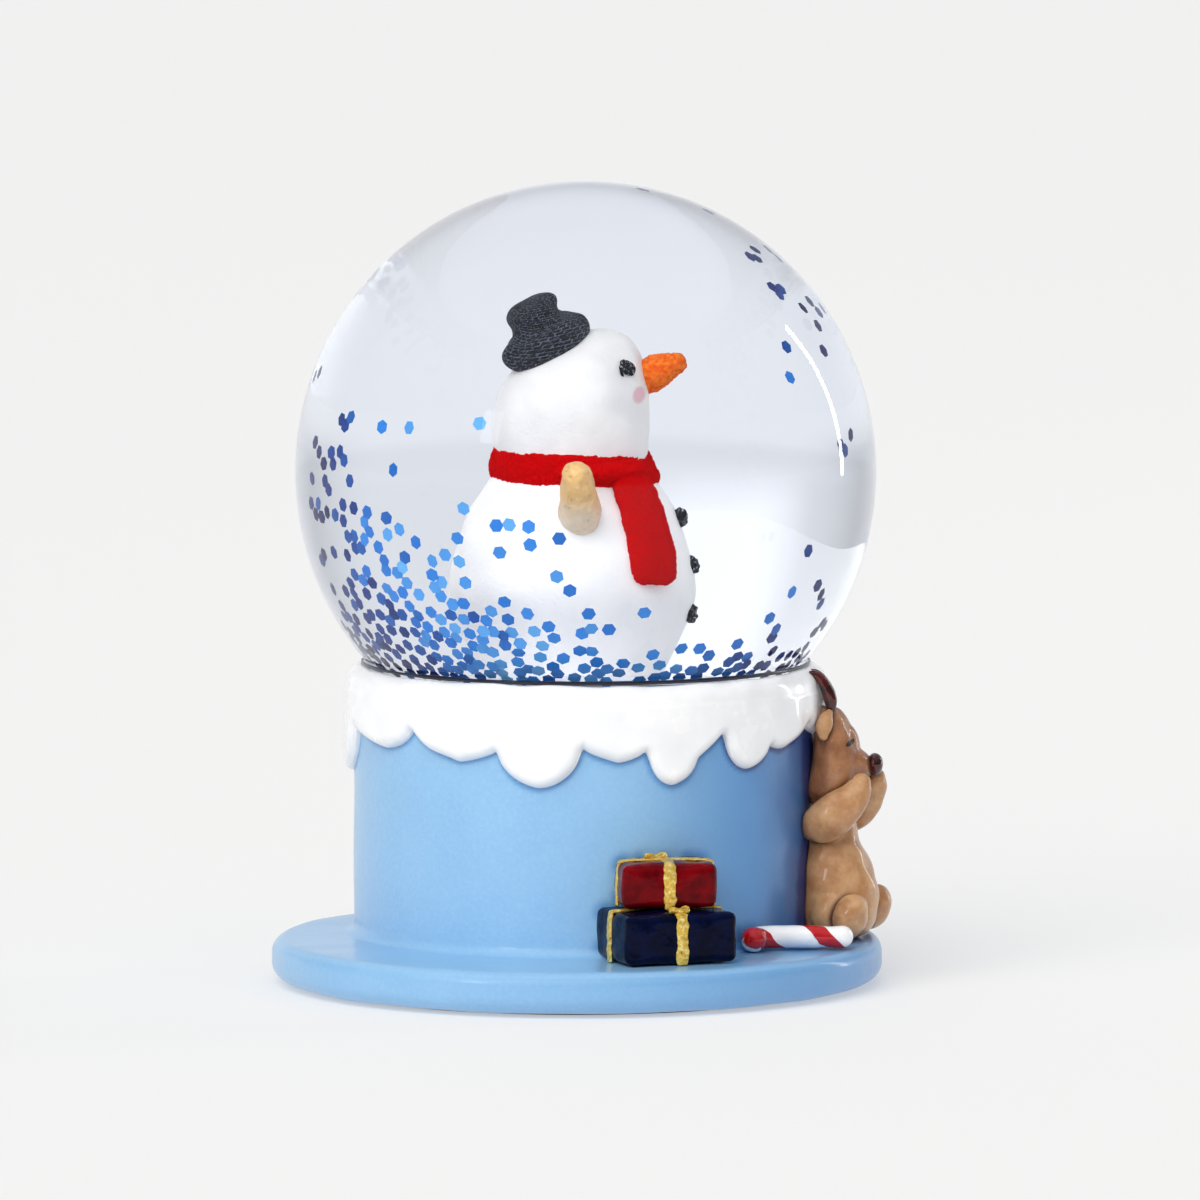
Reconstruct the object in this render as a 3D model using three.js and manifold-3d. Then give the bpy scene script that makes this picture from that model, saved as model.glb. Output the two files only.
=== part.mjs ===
// Miniature water globe: a glass ball with a snowman inside, bonded into a blue cast-resin drum
// with a snow collar, a reindeer, two gifts and a candy cane on its plinth.
// Units are millimetres, +Z is up, the origin is on the drum's axis at the table.
// The snowman and the reindeer both look towards +X.
import * as THREE from "three";
import { RoundedBoxGeometry } from "three/addons/geometries/RoundedBoxGeometry.js";
import { mergeVertices } from "three/addons/utils/BufferGeometryUtils.js";
import Module from "manifold-3d";

const wasm = await Module();
wasm.setup();

// Fits
const GAP = 0.2;
const GLUE_GAP = 0.15;
const TURN = 2 * Math.PI;

// Base casting and pad
const PLINTH_RADIUS = 23.65;
const PLINTH_X = -0.68;
const PLINTH_Y = -4.15;
const PLINTH_BOTTOM = 0.3;
const PLINTH_TOP = 3.5;
const PLINTH_EDGE = 1.35;
const DRUM_RADIUS = 18.0;
const DRUM_TOP = 22.0;
const DRUM_FILLET = 0.9;
const DRUM_EDGE = 0.4;
const PAD_RADIUS = 20.5;
const PAD_THICKNESS = 0.8;
const SEAT_RADIUS = 15.3;
const SEAT_FLOOR = 9.0;
const BASE_SEGMENTS = 56;

// Globe, stopper and what seals them
const GLOBE_RADIUS = 22.5;
const GLOBE_Z = 39.2;
const GLASS_WALL = 1.6;
const NECK_RADIUS = 14.4;
const NECK_BOTTOM = 12.0;
const GLOBE_SEGMENTS = 40;
const GLOBE_ARC_STEPS = 12;
const BOND_BOTTOM = 10.5;
const BOND_TOP = 21.4;
const STOPPER_FLANGE_RADIUS = 14.2;
const STOPPER_FLANGE_TOP = 11.8;
const STOPPER_PLATFORM_RADIUS = 11.6;
const STOPPER_SHOULDER = 22.2;
const STOPPER_TOP = 24.7;
const PLATE_RADIUS = 11.8;
const PLATE_THICKNESS = 1.05;

// Snow collar
const COLLAR_OUTER = 18.85;
const COLLAR_CREST_RADIUS = 17.85;
const COLLAR_CREST = 24.35;
const COLLAR_LIP_RADIUS = 17.0;
const COLLAR_LIP = 23.85;
const COLLAR_SEGMENTS = 108;
// Lower edge of the snow round the drum: [azimuth from +X in degrees, height].
// Low values are icicle drips and high values are the notches between them.
const COLLAR_EDGE = [
  [-178, 16.0], [-164, 20.2], [-147, 18.8], [-136, 20.5], [-122, 18.2], [-111, 19.4],
  [-101, 16.5], [-91, 19.8], [-82, 18.4], [-75, 19.35], [-68, 16.55], [-60, 18.5],
  [-53, 20.4], [-47, 17.5], [-37, 19.4], [-33.5, 18.7], [-22, 20.2], [-8, 19.6],
  [4, 20.2], [16, 16.8], [29, 20.1], [40, 18.2], [50, 20.3], [62, 17.2],
  [73, 19.5], [84, 18.4], [94, 20.2], [106, 16.4], [118, 19.9], [130, 18.0],
  [140, 20.3], [153, 17.3], [168, 19.8],
];

// Snowman, in the globe's own frame: origin at the globe's centre
const SNOWMAN_X = -0.8;
const BODY_PROFILE = [
  [4.6, -13.1], [5.0, -12.2], [5.5, -11.2], [6.5, -9.3], [7.05, -7.6], [7.1, -6.2],
  [6.8, -4.5], [6.2, -2.8], [5.4, -1.5], [4.7, -0.9],
];
// Head stations: [height, centre along X, half-length, half-width]; the crown of the head leans forward.
const HEAD_STATIONS = [
  [-0.7, 0, 4.0, 4.0], [0.4, 0, 4.35, 4.3], [2.0, 0, 4.5, 4.45], [3.8, 0.05, 4.45, 4.4],
  [5.2, 0.25, 4.2, 4.15], [6.5, 0.6, 3.55, 3.6], [7.5, 1.0, 2.6, 2.7], [8.15, 1.3, 1.4, 1.5],
  [8.4, 1.4, 0.4, 0.4],
];
const SCARF_LOW = -0.75;
const SCARF_HIGH = 1.6;
const SCARF_RADIUS = 4.95;
const SCARF_THICKNESS = 1.0;
const HAT_TILT = THREE.MathUtils.degToRad(-26);
const HAT_SEAT = [-1.5, 0, 7.72];
const HAT_PROFILE = [
  [1.5, -0.85], [2.2, -0.8], [2.62, -0.5], [2.78, 0.0], [2.68, 0.5], [2.3, 0.85],
  [1.95, 1.05], [1.66, 1.4], [1.56, 1.85], [1.62, 2.3], [1.5, 2.75], [0.8, 3.05],
];

// Reindeer, in its own frame: origin on the plinth's top, +X is where it looks
const REINDEER_X = 19.4;
const REINDEER_Y = -4.4;
const SKIRT_OVER_REINDEER = 18.6;
const REINDEER_TURN = THREE.MathUtils.degToRad(-17);
const REINDEER_HEAD_STATIONS = [
  [10.7, -0.2, 1.1, 1.4], [11.6, -0.15, 1.8, 2.1], [12.6, -0.1, 1.9, 2.35], [13.5, -0.1, 1.85, 2.4],
  [14.4, -0.15, 1.75, 2.3], [15.4, -0.25, 1.6, 2.1], [16.4, -0.4, 1.38, 1.8], [17.2, -0.5, 1.1, 1.4],
  [17.7, -0.52, 0.7, 0.9], [17.92, -0.52, 0.2, 0.25],
];
// The ear on the snow's side sits further forward than the outer one.
const EAR_FORWARD = { right: 0, left: 0.95 };

// Gifts and cane
const BLUE_GIFT = [8.9, 7.4, 3.75];
const BLUE_GIFT_CORNER = [3.3, -24.4];
const BLUE_GIFT_TURN = THREE.MathUtils.degToRad(20);
const RED_GIFT = [7.2, 5.4, 3.3];
const RED_GIFT_CORNER = [2.9, -21.9];
const RED_GIFT_TURN = THREE.MathUtils.degToRad(7);
const GIFT_ROUND = 0.45;
const RIBBON_WIDTH = 0.95;
const RIBBON_THICKNESS = 0.24;
const BOW_LIFT = 0.34;
const CANE_RADIUS = 0.86;
const CANE_HOOK_RADIUS = 1.55;
const CANE_FOOT = [20.0, -13.0];
const CANE_BEND = [14.4, -13.1];

const PAINT = {
  base: [0x8abee7, 0.4],
  pad: [0x2b2f36, 0.9],
  snow: [0xf7f8fa, 0.3],
  glass: [0xe6eef2, 0.05],
  rubber: [0x2a2a2c, 0.8],
  bond: [0xe9e4d0, 0.3],
  liquid: [0xdde7ee, 0.05],
  snowman: [0xf4f5f8, 0.5],
  hat: [0x2f3543, 0.9],
  scarf: [0xc4070d, 0.9],
  carrot: [0xe0651c, 0.5],
  coal: [0x17181c, 0.5],
  wood: [0xc89b68, 0.5],
  fur: [0xba8a5f, 0.35],
  antler: [0x3e2221, 0.25],
  red: [0x8a0a14, 0.25],
  blue: [0x10184a, 0.25],
  gold: [0xd8b84a, 0.35],
  cane: [0xf4f5f8, 0.2],
};

// ---- Shape helpers ----

function weld(geometry) {
  const bare = geometry.clone();
  bare.deleteAttribute("normal");
  bare.deleteAttribute("uv");
  return mergeVertices(bare, 1e-4);
}

function signedVolume(geometry) {
  const position = geometry.attributes.position;
  const index = geometry.index;
  const corner = [new THREE.Vector3(), new THREE.Vector3(), new THREE.Vector3()];
  let total = 0;
  for (let face = 0; face < index.count; face += 3) {
    corner.forEach((point, k) => point.fromBufferAttribute(position, index.getX(face + k)));
    total += corner[0].dot(corner[1].clone().cross(corner[2])) / 6;
  }
  return total;
}

// Welds the points and turns the faces so that they look outwards.
function outward(geometry) {
  const welded = weld(geometry);
  if (signedVolume(welded) < 0) {
    const flipped = Array.from(welded.index.array);
    for (let face = 0; face < flipped.length; face += 3) {
      [flipped[face], flipped[face + 1]] = [flipped[face + 1], flipped[face]];
    }
    welded.setIndex(flipped);
  }
  welded.computeVertexNormals();
  return welded;
}

function toSolid(geometry) {
  const closed = outward(geometry);
  return new wasm.Manifold(new wasm.Mesh({
    numProp: 3,
    vertProperties: new Float32Array(closed.attributes.position.array),
    triVerts: new Uint32Array(closed.index.array),
  }));
}

function toGeometry(body) {
  const mesh = body.getMesh();
  const geometry = new THREE.BufferGeometry();
  geometry.setAttribute("position", new THREE.BufferAttribute(mesh.vertProperties, 3));
  geometry.setIndex(new THREE.BufferAttribute(mesh.triVerts, 1));
  geometry.computeVertexNormals();
  return geometry;
}

function join(...geometries) {
  return toGeometry(geometries.map(toSolid).reduce((sum, next) => sum.add(next)));
}

function cut(geometry, ...cutters) {
  return toGeometry(cutters.map(toSolid).reduce((rest, next) => rest.subtract(next), toSolid(geometry)));
}

function overlap(first, second) {
  return toGeometry(toSolid(first).intersect(toSolid(second)));
}

// The same shape with its whole skin moved out by a distance.
function grown(geometry, distance = GAP) {
  const bigger = outward(geometry);
  const position = bigger.attributes.position;
  const normal = bigger.attributes.normal;
  for (let i = 0; i < position.count; i += 1) {
    position.setXYZ(
      i,
      position.getX(i) + normal.getX(i) * distance,
      position.getY(i) + normal.getY(i) * distance,
      position.getZ(i) + normal.getZ(i) * distance,
    );
  }
  return bigger;
}

function moved(geometry, x, y, z) {
  return geometry.clone().translate(x, y, z);
}

// Turns a [radius, height] profile about the Z axis.
function turned(profile, segments) {
  const points = profile.map(([radius, height]) => new THREE.Vector2(radius, height));
  return new THREE.LatheGeometry(points, segments).rotateX(Math.PI / 2);
}

// A solid of revolution whose profile is closed onto the axis at both ends.
function turnedSolid(profile, segments = 24) {
  const low = profile[0][1];
  const high = profile[profile.length - 1][1];
  return turned([[0, low], ...profile.filter(([radius]) => radius > 0), [0, high]], segments);
}

function ring(inner, outer, low, high, segments = BASE_SEGMENTS) {
  return turned([[inner, low], [outer, low], [outer, high], [inner, high], [inner, low]], segments);
}

function rod(radius, low, high, segments = BASE_SEGMENTS) {
  return turnedSolid([[radius, low], [radius, high]], segments);
}

function ball(rx, ry, rz, across = 16, along = 10) {
  return new THREE.SphereGeometry(1, across, along).rotateX(Math.PI / 2).scale(rx, ry, rz);
}

function arc(x, z, radius, from, to, steps) {
  return Array.from({ length: steps + 1 }, (_, i) => {
    const angle = THREE.MathUtils.degToRad(from + (to - from) * i / steps);
    return [x + radius * Math.cos(angle), z + radius * Math.sin(angle)];
  });
}

// A skin through rings of points. Open stacks are capped at both ends; a looped stack joins up.
function loft(rings, looped = false) {
  const size = rings[0].length;
  const points = rings.flat();
  const faces = [];
  const spans = looped ? rings.length : rings.length - 1;
  for (let row = 0; row < spans; row += 1) {
    const next = (row + 1) % rings.length;
    for (let k = 0; k < size; k += 1) {
      const a = row * size + k;
      const b = row * size + (k + 1) % size;
      const c = next * size + (k + 1) % size;
      const d = next * size + k;
      faces.push(a, b, c, a, c, d);
    }
  }
  if (!looped) {
    capEnd(points, faces, rings[0], 0, true);
    capEnd(points, faces, rings[rings.length - 1], (rings.length - 1) * size, false);
  }
  const geometry = new THREE.BufferGeometry();
  geometry.setAttribute("position", new THREE.Float32BufferAttribute(points.flatMap((p) => p.toArray()), 3));
  geometry.setIndex(faces);
  return outward(geometry);
}

function capEnd(points, faces, rim, start, first) {
  const middle = rim.reduce((sum, p) => sum.add(p), new THREE.Vector3()).divideScalar(rim.length);
  const hub = points.push(middle) - 1;
  for (let k = 0; k < rim.length; k += 1) {
    const a = start + k;
    const b = start + (k + 1) % rim.length;
    faces.push(...(first ? [hub, b, a] : [hub, a, b]));
  }
}

// An upright body through stations of [height, centre along X, half-length, half-width].
function stack(stations, sides = 24) {
  return loft(stations.map(([height, centre, halfLength, halfWidth]) => Array.from({ length: sides }, (_, k) => {
    const angle = TURN * k / sides;
    return new THREE.Vector3(centre + halfLength * Math.cos(angle), halfWidth * Math.sin(angle), height);
  })));
}

// A limb through stations of [centre, radius across, radius in depth], with rounded ends.
function limb(stations, sides = 14) {
  const centres = stations.map(([centre]) => new THREE.Vector3(...centre));
  const rings = stations.map(([, across, deep], i) => {
    const before = centres[Math.max(i - 1, 0)];
    const after = centres[Math.min(i + 1, centres.length - 1)];
    const along = after.clone().sub(before).normalize();
    const side = new THREE.Vector3(0, 1, 0).cross(along).normalize();
    const up = along.clone().cross(side);
    return Array.from({ length: sides }, (_, k) => {
      const angle = TURN * k / sides;
      return centres[i].clone()
        .addScaledVector(side, across * Math.cos(angle))
        .addScaledVector(up, deep * Math.sin(angle));
    });
  });
  return loft(rings);
}

function mesh(name, geometry, paint, metalness = 0) {
  const [colour, roughness] = PAINT[paint];
  const material = new THREE.MeshStandardMaterial({ color: colour, roughness, metalness });
  const piece = new THREE.Mesh(outward(geometry), material);
  piece.name = name;
  return piece;
}

// ---- Base ----

function plinthDisc() {
  const low = PLINTH_BOTTOM + PLINTH_EDGE;
  const top = PLINTH_TOP - PLINTH_EDGE;
  const edge = PLINTH_RADIUS - PLINTH_EDGE;
  const profile = [
    ...arc(edge, low, PLINTH_EDGE, -90, 0, 4),
    ...arc(edge, top, PLINTH_EDGE, 0, 90, 4),
  ];
  return moved(turnedSolid(profile, BASE_SEGMENTS), PLINTH_X, PLINTH_Y, 0);
}

function drumBarrel() {
  const flare = arc(DRUM_RADIUS + DRUM_FILLET, PLINTH_TOP + DRUM_FILLET, DRUM_FILLET, 270, 180, 3);
  const edge = arc(DRUM_RADIUS - DRUM_EDGE, DRUM_TOP - DRUM_EDGE, DRUM_EDGE, 0, 90, 2);
  const foot = [DRUM_RADIUS + DRUM_FILLET, PLINTH_TOP - DRUM_FILLET];
  return turnedSolid([foot, ...flare, ...edge], BASE_SEGMENTS);
}

function padDisc(radius, low, high) {
  return moved(rod(radius, low, high), PLINTH_X, PLINTH_Y, 0);
}

function baseCasting() {
  const seat = rod(SEAT_RADIUS, SEAT_FLOOR, DRUM_TOP + 1);
  const recess = padDisc(PAD_RADIUS + GAP, PLINTH_BOTTOM - 1, PAD_THICKNESS + GLUE_GAP);
  return cut(join(plinthDisc(), drumBarrel()), seat, recess);
}

// The drum with its foot fillet and a gap round it, cut from whatever is stuck against it.
function drumClearance() {
  const barrel = rod(DRUM_RADIUS + GAP, PLINTH_TOP - 1, DRUM_TOP + 0.05);
  const flare = rod(DRUM_RADIUS + DRUM_FILLET + GAP, PLINTH_TOP - 1, PLINTH_TOP + DRUM_FILLET);
  return join(barrel, flare);
}

// ---- Snow collar ----

function edgeHeight(azimuth) {
  const stops = COLLAR_EDGE;
  const wrapped = (value) => (value - stops[0][0] + 360) % 360;
  const here = wrapped(azimuth);
  let k = stops.length - 1;
  while (wrapped(stops[k][0]) > here) {
    k -= 1;
  }
  const [fromAngle, fromHeight] = stops[k];
  const [toAngle, toHeight] = stops[(k + 1) % stops.length];
  const span = wrapped(toAngle) > wrapped(fromAngle) ? wrapped(toAngle) - wrapped(fromAngle) : 360 - wrapped(fromAngle);
  const t = (here - wrapped(fromAngle)) / span;
  return fromHeight + (toHeight - fromHeight) * (1 - Math.cos(Math.PI * t)) / 2;
}

function collarSection(low) {
  const bore = GLOBE_RADIUS + GAP;
  const boreAt = (z) => Math.sqrt(bore ** 2 - (GLOBE_Z - z) ** 2);
  const seat = DRUM_TOP + GLUE_GAP;
  const skirt = DRUM_RADIUS + GLUE_GAP;
  return [
    [boreAt(seat), seat],
    [skirt, seat],
    [skirt, low + 0.1],
    [skirt + 0.35, low],
    [COLLAR_OUTER, low + 0.5],
    [COLLAR_OUTER, DRUM_TOP + 0.6],
    [COLLAR_OUTER - 0.35, COLLAR_CREST - 0.7],
    [COLLAR_CREST_RADIUS, COLLAR_CREST],
    [COLLAR_LIP_RADIUS, COLLAR_LIP],
    [boreAt(COLLAR_LIP - 0.4), COLLAR_LIP - 0.4],
  ];
}

function snowCollar() {
  const rings = Array.from({ length: COLLAR_SEGMENTS }, (_, i) => {
    const azimuth = 360 * i / COLLAR_SEGMENTS - 180;
    const angle = THREE.MathUtils.degToRad(azimuth);
    return collarSection(edgeHeight(azimuth))
      .map(([r, z]) => new THREE.Vector3(r * Math.cos(angle), r * Math.sin(angle), z));
  });
  return loft(rings, true);
}

// ---- Globe ----

// Degrees below the horizon at which a sphere of this radius meets a neck.
function neckAngle(radius, neck) {
  return -THREE.MathUtils.radToDeg(Math.acos(neck / radius));
}

function glassGlobe() {
  const inside = GLOBE_RADIUS - GLASS_WALL;
  const bore = NECK_RADIUS - GLASS_WALL;
  const outer = arc(0, GLOBE_Z, GLOBE_RADIUS, neckAngle(GLOBE_RADIUS, NECK_RADIUS), 90, GLOBE_ARC_STEPS);
  const inner = arc(0, GLOBE_Z, inside, 90, neckAngle(inside, bore), GLOBE_ARC_STEPS);
  outer[outer.length - 1][0] = 0;
  inner[0][0] = 0;
  const neck = [[bore, NECK_BOTTOM], [NECK_RADIUS, NECK_BOTTOM]];
  return turned([inner[0], ...inner.slice(1), ...neck, ...outer], GLOBE_SEGMENTS);
}

function rubberStopper() {
  const plug = NECK_RADIUS - GLASS_WALL - GAP;
  return turnedSolid([
    [STOPPER_FLANGE_RADIUS, SEAT_FLOOR + GLUE_GAP],
    [STOPPER_FLANGE_RADIUS, STOPPER_FLANGE_TOP],
    [plug, STOPPER_FLANGE_TOP],
    [plug, STOPPER_SHOULDER],
    [STOPPER_PLATFORM_RADIUS, STOPPER_SHOULDER],
    [STOPPER_PLATFORM_RADIUS, STOPPER_TOP],
  ], GLOBE_SEGMENTS);
}

function figurePlate() {
  const low = STOPPER_TOP + GLUE_GAP;
  const high = low + PLATE_THICKNESS;
  return turnedSolid([[PLATE_RADIUS, low], [PLATE_RADIUS, high - 0.3], [PLATE_RADIUS - 0.4, high]], GLOBE_SEGMENTS);
}

// The water inside the glass, before the snowman takes its place.
function waterVolume() {
  const inside = GLOBE_RADIUS - GLASS_WALL - GLUE_GAP;
  const neck = NECK_RADIUS - GLASS_WALL - GLUE_GAP;
  const plate = PLATE_RADIUS + GLUE_GAP;
  const top = STOPPER_TOP + GLUE_GAP + PLATE_THICKNESS + GLUE_GAP;
  const low = STOPPER_SHOULDER + GAP;
  const dome = arc(0, GLOBE_Z, inside, neckAngle(inside, neck), 90, GLOBE_ARC_STEPS);
  dome[dome.length - 1][0] = 0;
  return turned([[0, top], [plate, top], [plate, low], [neck, low], ...dome], GLOBE_SEGMENTS);
}

// ---- Snowman ----

function scarfRing() {
  const inner = SCARF_RADIUS - SCARF_THICKNESS;
  const middle = (SCARF_LOW + SCARF_HIGH) / 2;
  const half = (SCARF_HIGH - SCARF_LOW) / 2;
  const outer = arc(0, 0, 1, -90, 90, 5)
    .map(([c, s]) => [inner + SCARF_THICKNESS * Math.sqrt(Math.max(c, 0)), middle + half * s]);
  return turned([...outer, outer[0]], 24);
}

// A flat tongue of scarf hanging down the front of the belly.
function scarfTail() {
  const heading = THREE.MathUtils.degToRad(-46);
  const out = new THREE.Vector3(Math.cos(heading), Math.sin(heading), 0);
  const across = new THREE.Vector3(-out.y, out.x, 0);
  const stations = [
    [4.7, 0.9, 1.2], [5.6, -0.6, 1.35], [6.45, -2.4, 1.45], [7.0, -4.2, 1.5], [7.3, -5.8, 1.5], [7.35, -6.6, 1.2],
  ];
  const rings = stations.map(([radius, height, half]) => Array.from({ length: 14 }, (_, k) => {
    const angle = TURN * k / 14;
    const depth = 0.55 * Math.sin(angle);
    return new THREE.Vector3(0, 0, height)
      .addScaledVector(out, radius + depth)
      .addScaledVector(across, half * Math.cos(angle));
  }));
  return loft(rings);
}

function snowmanHat() {
  return turnedSolid(HAT_PROFILE, 20).rotateY(HAT_TILT).translate(...HAT_SEAT);
}

function carrot() {
  return limb([
    [[3.7, 0, 5.25], 0.95, 0.95], [[4.7, 0, 5.75], 1.0, 1.0], [[5.5, 0, 6.12], 0.9, 0.9],
    [[6.15, 0, 6.42], 0.68, 0.68], [[6.55, 0, 6.6], 0.36, 0.36],
  ]);
}

function eye(side) {
  return moved(ball(0.6, 0.5, 0.5, 10, 6), 3.3, side * 2.5, 6.5);
}

function arm(side) {
  return limb([
    [[0.45, side * 4.9, -2.5], 1.45, 1.3], [[0.42, side * 6.0, -1.95], 1.5, 1.35],
    [[0.38, side * 6.9, -1.15], 1.32, 1.2], [[0.3, side * 7.5, -0.35], 1.2, 1.1],
    [[0.25, side * 7.95, 0.5], 0.95, 0.85], [[0.22, side * 8.2, 1.0], 0.5, 0.45],
  ]);
}

function button(height, reach) {
  return moved(ball(0.42, 0.58, 0.58, 10, 6), reach, 0, height);
}

// Every piece of the snowman, in a frame whose Z axis is the snowman's own.
function snowmanShapes() {
  const body = turnedSolid(BODY_PROFILE, 28);
  const head = stack(HEAD_STATIONS);
  const scarf = scarfRing();
  const tail = scarfTail();
  const hat = snowmanHat();
  const nose = carrot();
  const buttons = [[-2.65, 6.15], [-5.5, 7.0], [-8.3, 6.95]].map(([height, reach]) => button(height, reach));
  const skin = [grown(body), grown(head)];
  return {
    snowman_body: [body, "snowman", body],
    snowman_head: [cut(head, grown(body)), "snowman", head],
    snowman_scarf: [cut(scarf, ...skin), "scarf", rod(SCARF_RADIUS, SCARF_LOW, SCARF_HIGH, 24)],
    scarf_tail: [cut(tail, ...skin, grown(scarf, GLUE_GAP)), "scarf", tail],
    snowman_hat: [cut(hat, grown(head)), "hat", hat],
    carrot_nose: [cut(nose, grown(head)), "carrot", nose],
    snowman_eye_right: [cut(eye(-1), grown(head, 0.05)), "coal", eye(-1)],
    snowman_eye_left: [cut(eye(1), grown(head, 0.05)), "coal", eye(1)],
    snowman_arm_right: [cut(arm(-1), ...skin, grown(scarf)), "wood", arm(-1)],
    snowman_arm_left: [cut(arm(1), ...skin, grown(scarf)), "wood", arm(1)],
    snowman_button_1: [cut(buttons[0], grown(body, 0.05)), "coal", buttons[0]],
    snowman_button_2: [cut(buttons[1], grown(body, 0.05)), "coal", buttons[1]],
    snowman_button_3: [cut(buttons[2], grown(body, 0.05)), "coal", buttons[2]],
  };
}

function snowman(shapes) {
  const figure = new THREE.Group();
  figure.name = "snowman";
  figure.position.set(SNOWMAN_X, 0, GLOBE_Z);
  Object.entries(shapes).forEach(([name, [geometry, paint]]) => figure.add(mesh(name, geometry, paint)));
  return figure;
}

function liquidFill(shapes) {
  const hollows = Object.values(shapes).map(([, , whole]) => moved(grown(whole), SNOWMAN_X, 0, GLOBE_Z));
  return cut(waterVolume(), ...hollows);
}

// ---- Reindeer ----

// The drum and the snow behind the reindeer's back, in the reindeer's own frame.
function drumBehind() {
  const skirt = turnedSolid([
    [COLLAR_OUTER + GAP, SKIRT_OVER_REINDEER],
    [COLLAR_OUTER + GAP, DRUM_TOP + 0.6 + GAP],
    [COLLAR_OUTER - 0.1, COLLAR_CREST - 0.6],
    [COLLAR_CREST_RADIUS + GAP, COLLAR_CREST + GAP],
  ], BASE_SEGMENTS);
  return join(drumClearance(), skirt)
    .translate(-REINDEER_X, -REINDEER_Y, -PLINTH_TOP)
    .rotateZ(-REINDEER_TURN);
}

function reindeerBody() {
  const profile = [
    [2.0, 0.15], [2.75, 0.9], [3.1, 2.6], [3.05, 4.0], [2.75, 5.5], [2.3, 6.7], [2.0, 7.6], [1.95, 8.8],
    [1.6, 9.8],
  ];
  const haunch = (side) => moved(ball(1.7, 1.3, 1.9), 0.3, side * 2.3, 2.1);
  return join(turnedSolid(profile, 24), haunch(-1), haunch(1));
}

// The head looks straight along +X although the body below it is turned.
function facingOut(geometry) {
  return geometry.clone().rotateZ(-REINDEER_TURN);
}

function reindeerHead() {
  const muzzle = ball(1.8, 1.5, 1.45).rotateY(Math.PI / 6).translate(1.0, 0, 13.4);
  const brow = moved(ball(1.15, 1.4, 1.7), 0.6, 0, 14.8);
  const jaw = moved(ball(1.7, 1.8, 1.3), 0.6, 0, 12.4);
  return facingOut(join(stack(REINDEER_HEAD_STATIONS), muzzle, brow, jaw));
}

function reindeerNose() {
  return facingOut(moved(ball(0.62, 0.82, 0.88, 14, 10), 2.9, 0, 13.37));
}

function reindeerArm(side) {
  return limb([
    [[-2.2, side * 2.1, 7.9], 0.6, 0.5], [[-1.7, side * 2.3, 8.3], 1.15, 0.95],
    [[-1.0, side * 2.7, 8.8], 1.55, 1.15], [[0, side * 2.95, 9.4], 1.7, 1.2],
    [[1.0, side * 2.85, 10.1], 1.66, 1.15], [[1.9, side * 2.45, 11.05], 1.32, 1.0],
    [[2.4, side * 2.15, 11.9], 0.98, 0.85], [[2.65, side * 2.05, 12.5], 0.5, 0.45],
  ]);
}

function reindeerFoot(side) {
  return ball(1.35, 1.45, 1.85).rotateY(0.35).translate(2.0, side * 3.35, 2.0);
}

function reindeerEar(side, forward) {
  return facingOut(limb([
    [[-0.7 + forward, side * 1.3, 17.6], 0.3, 0.3], [[-0.95 + forward, side * 1.8, 17.2], 0.55, 0.45],
    [[-1.1 + forward, side * 2.2, 16.4], 0.66, 0.5], [[-1.12 + forward, side * 2.4, 15.6], 0.4, 0.32],
  ], 10));
}

// A leaf-shaped blade that leans back and hooks over the snow.
function antler(side) {
  const y = side * 0.75;
  return facingOut(limb([
    [[-0.4, y, 17.3], 0.26, 0.3], [[-0.4, y, 17.9], 0.42, 0.4], [[-0.45, y, 18.6], 0.52, 0.44],
    [[-0.6, y, 19.3], 0.5, 0.42], [[-0.85, y, 20.0], 0.42, 0.38], [[-1.25, y, 20.5], 0.34, 0.32],
    [[-1.65, y, 20.85], 0.28, 0.28], [[-2.05, y, 21.05], 0.16, 0.18],
  ], 12));
}

function reindeerShapes() {
  const behind = drumBehind();
  const body = reindeerBody();
  const head = reindeerHead();
  const arms = { right: reindeerArm(-1), left: reindeerArm(1) };
  const solids = [grown(body, GLUE_GAP), grown(head, GLUE_GAP)];
  const shapes = {
    reindeer_body: [cut(body, behind), "fur"],
    reindeer_head: [cut(head, behind, grown(body, GLUE_GAP)), "fur"],
    reindeer_nose: [cut(reindeerNose(), grown(head, 0.1)), "antler"],
  };
  [["right", -1], ["left", 1]].forEach(([hand, side]) => {
    shapes[`reindeer_arm_${hand}`] = [cut(arms[hand], behind, ...solids), "fur"];
    shapes[`reindeer_foot_${hand}`] = [cut(reindeerFoot(side), grown(body, GLUE_GAP)), "fur"];
    shapes[`reindeer_ear_${hand}`] = [cut(reindeerEar(side, EAR_FORWARD[hand]), grown(head, 0.1), behind), "fur"];
    shapes[`reindeer_antler_${hand}`] = [cut(antler(side), grown(head, 0.1), behind), "antler"];
  });
  return shapes;
}

function reindeer() {
  const figure = new THREE.Group();
  figure.name = "reindeer";
  figure.position.set(REINDEER_X, REINDEER_Y, PLINTH_TOP);
  figure.rotation.z = REINDEER_TURN;
  Object.entries(reindeerShapes()).forEach(([name, [geometry, paint]]) => figure.add(mesh(name, geometry, paint)));
  return figure;
}

// ---- Gifts and candy cane ----

function giftBox([width, depth, height], extra = 0) {
  const box = new RoundedBoxGeometry(width + 2 * extra, depth + 2 * extra, height + 2 * extra, 2, GIFT_ROUND + extra);
  return box.translate(width / 2, depth / 2, height / 2);
}

function slab([width, depth, height], alongX) {
  const length = alongX ? [width + 4, RIBBON_WIDTH] : [RIBBON_WIDTH, depth + 4];
  return new THREE.BoxGeometry(...length, height + 2).translate(width / 2, depth / 2, height / 2 + 1.05);
}

function giftRibbon(size) {
  const wrap = overlap(giftBox(size, RIBBON_THICKNESS), join(slab(size, true), slab(size, false)));
  return cut(wrap, giftBox(size, 0.06));
}

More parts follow.
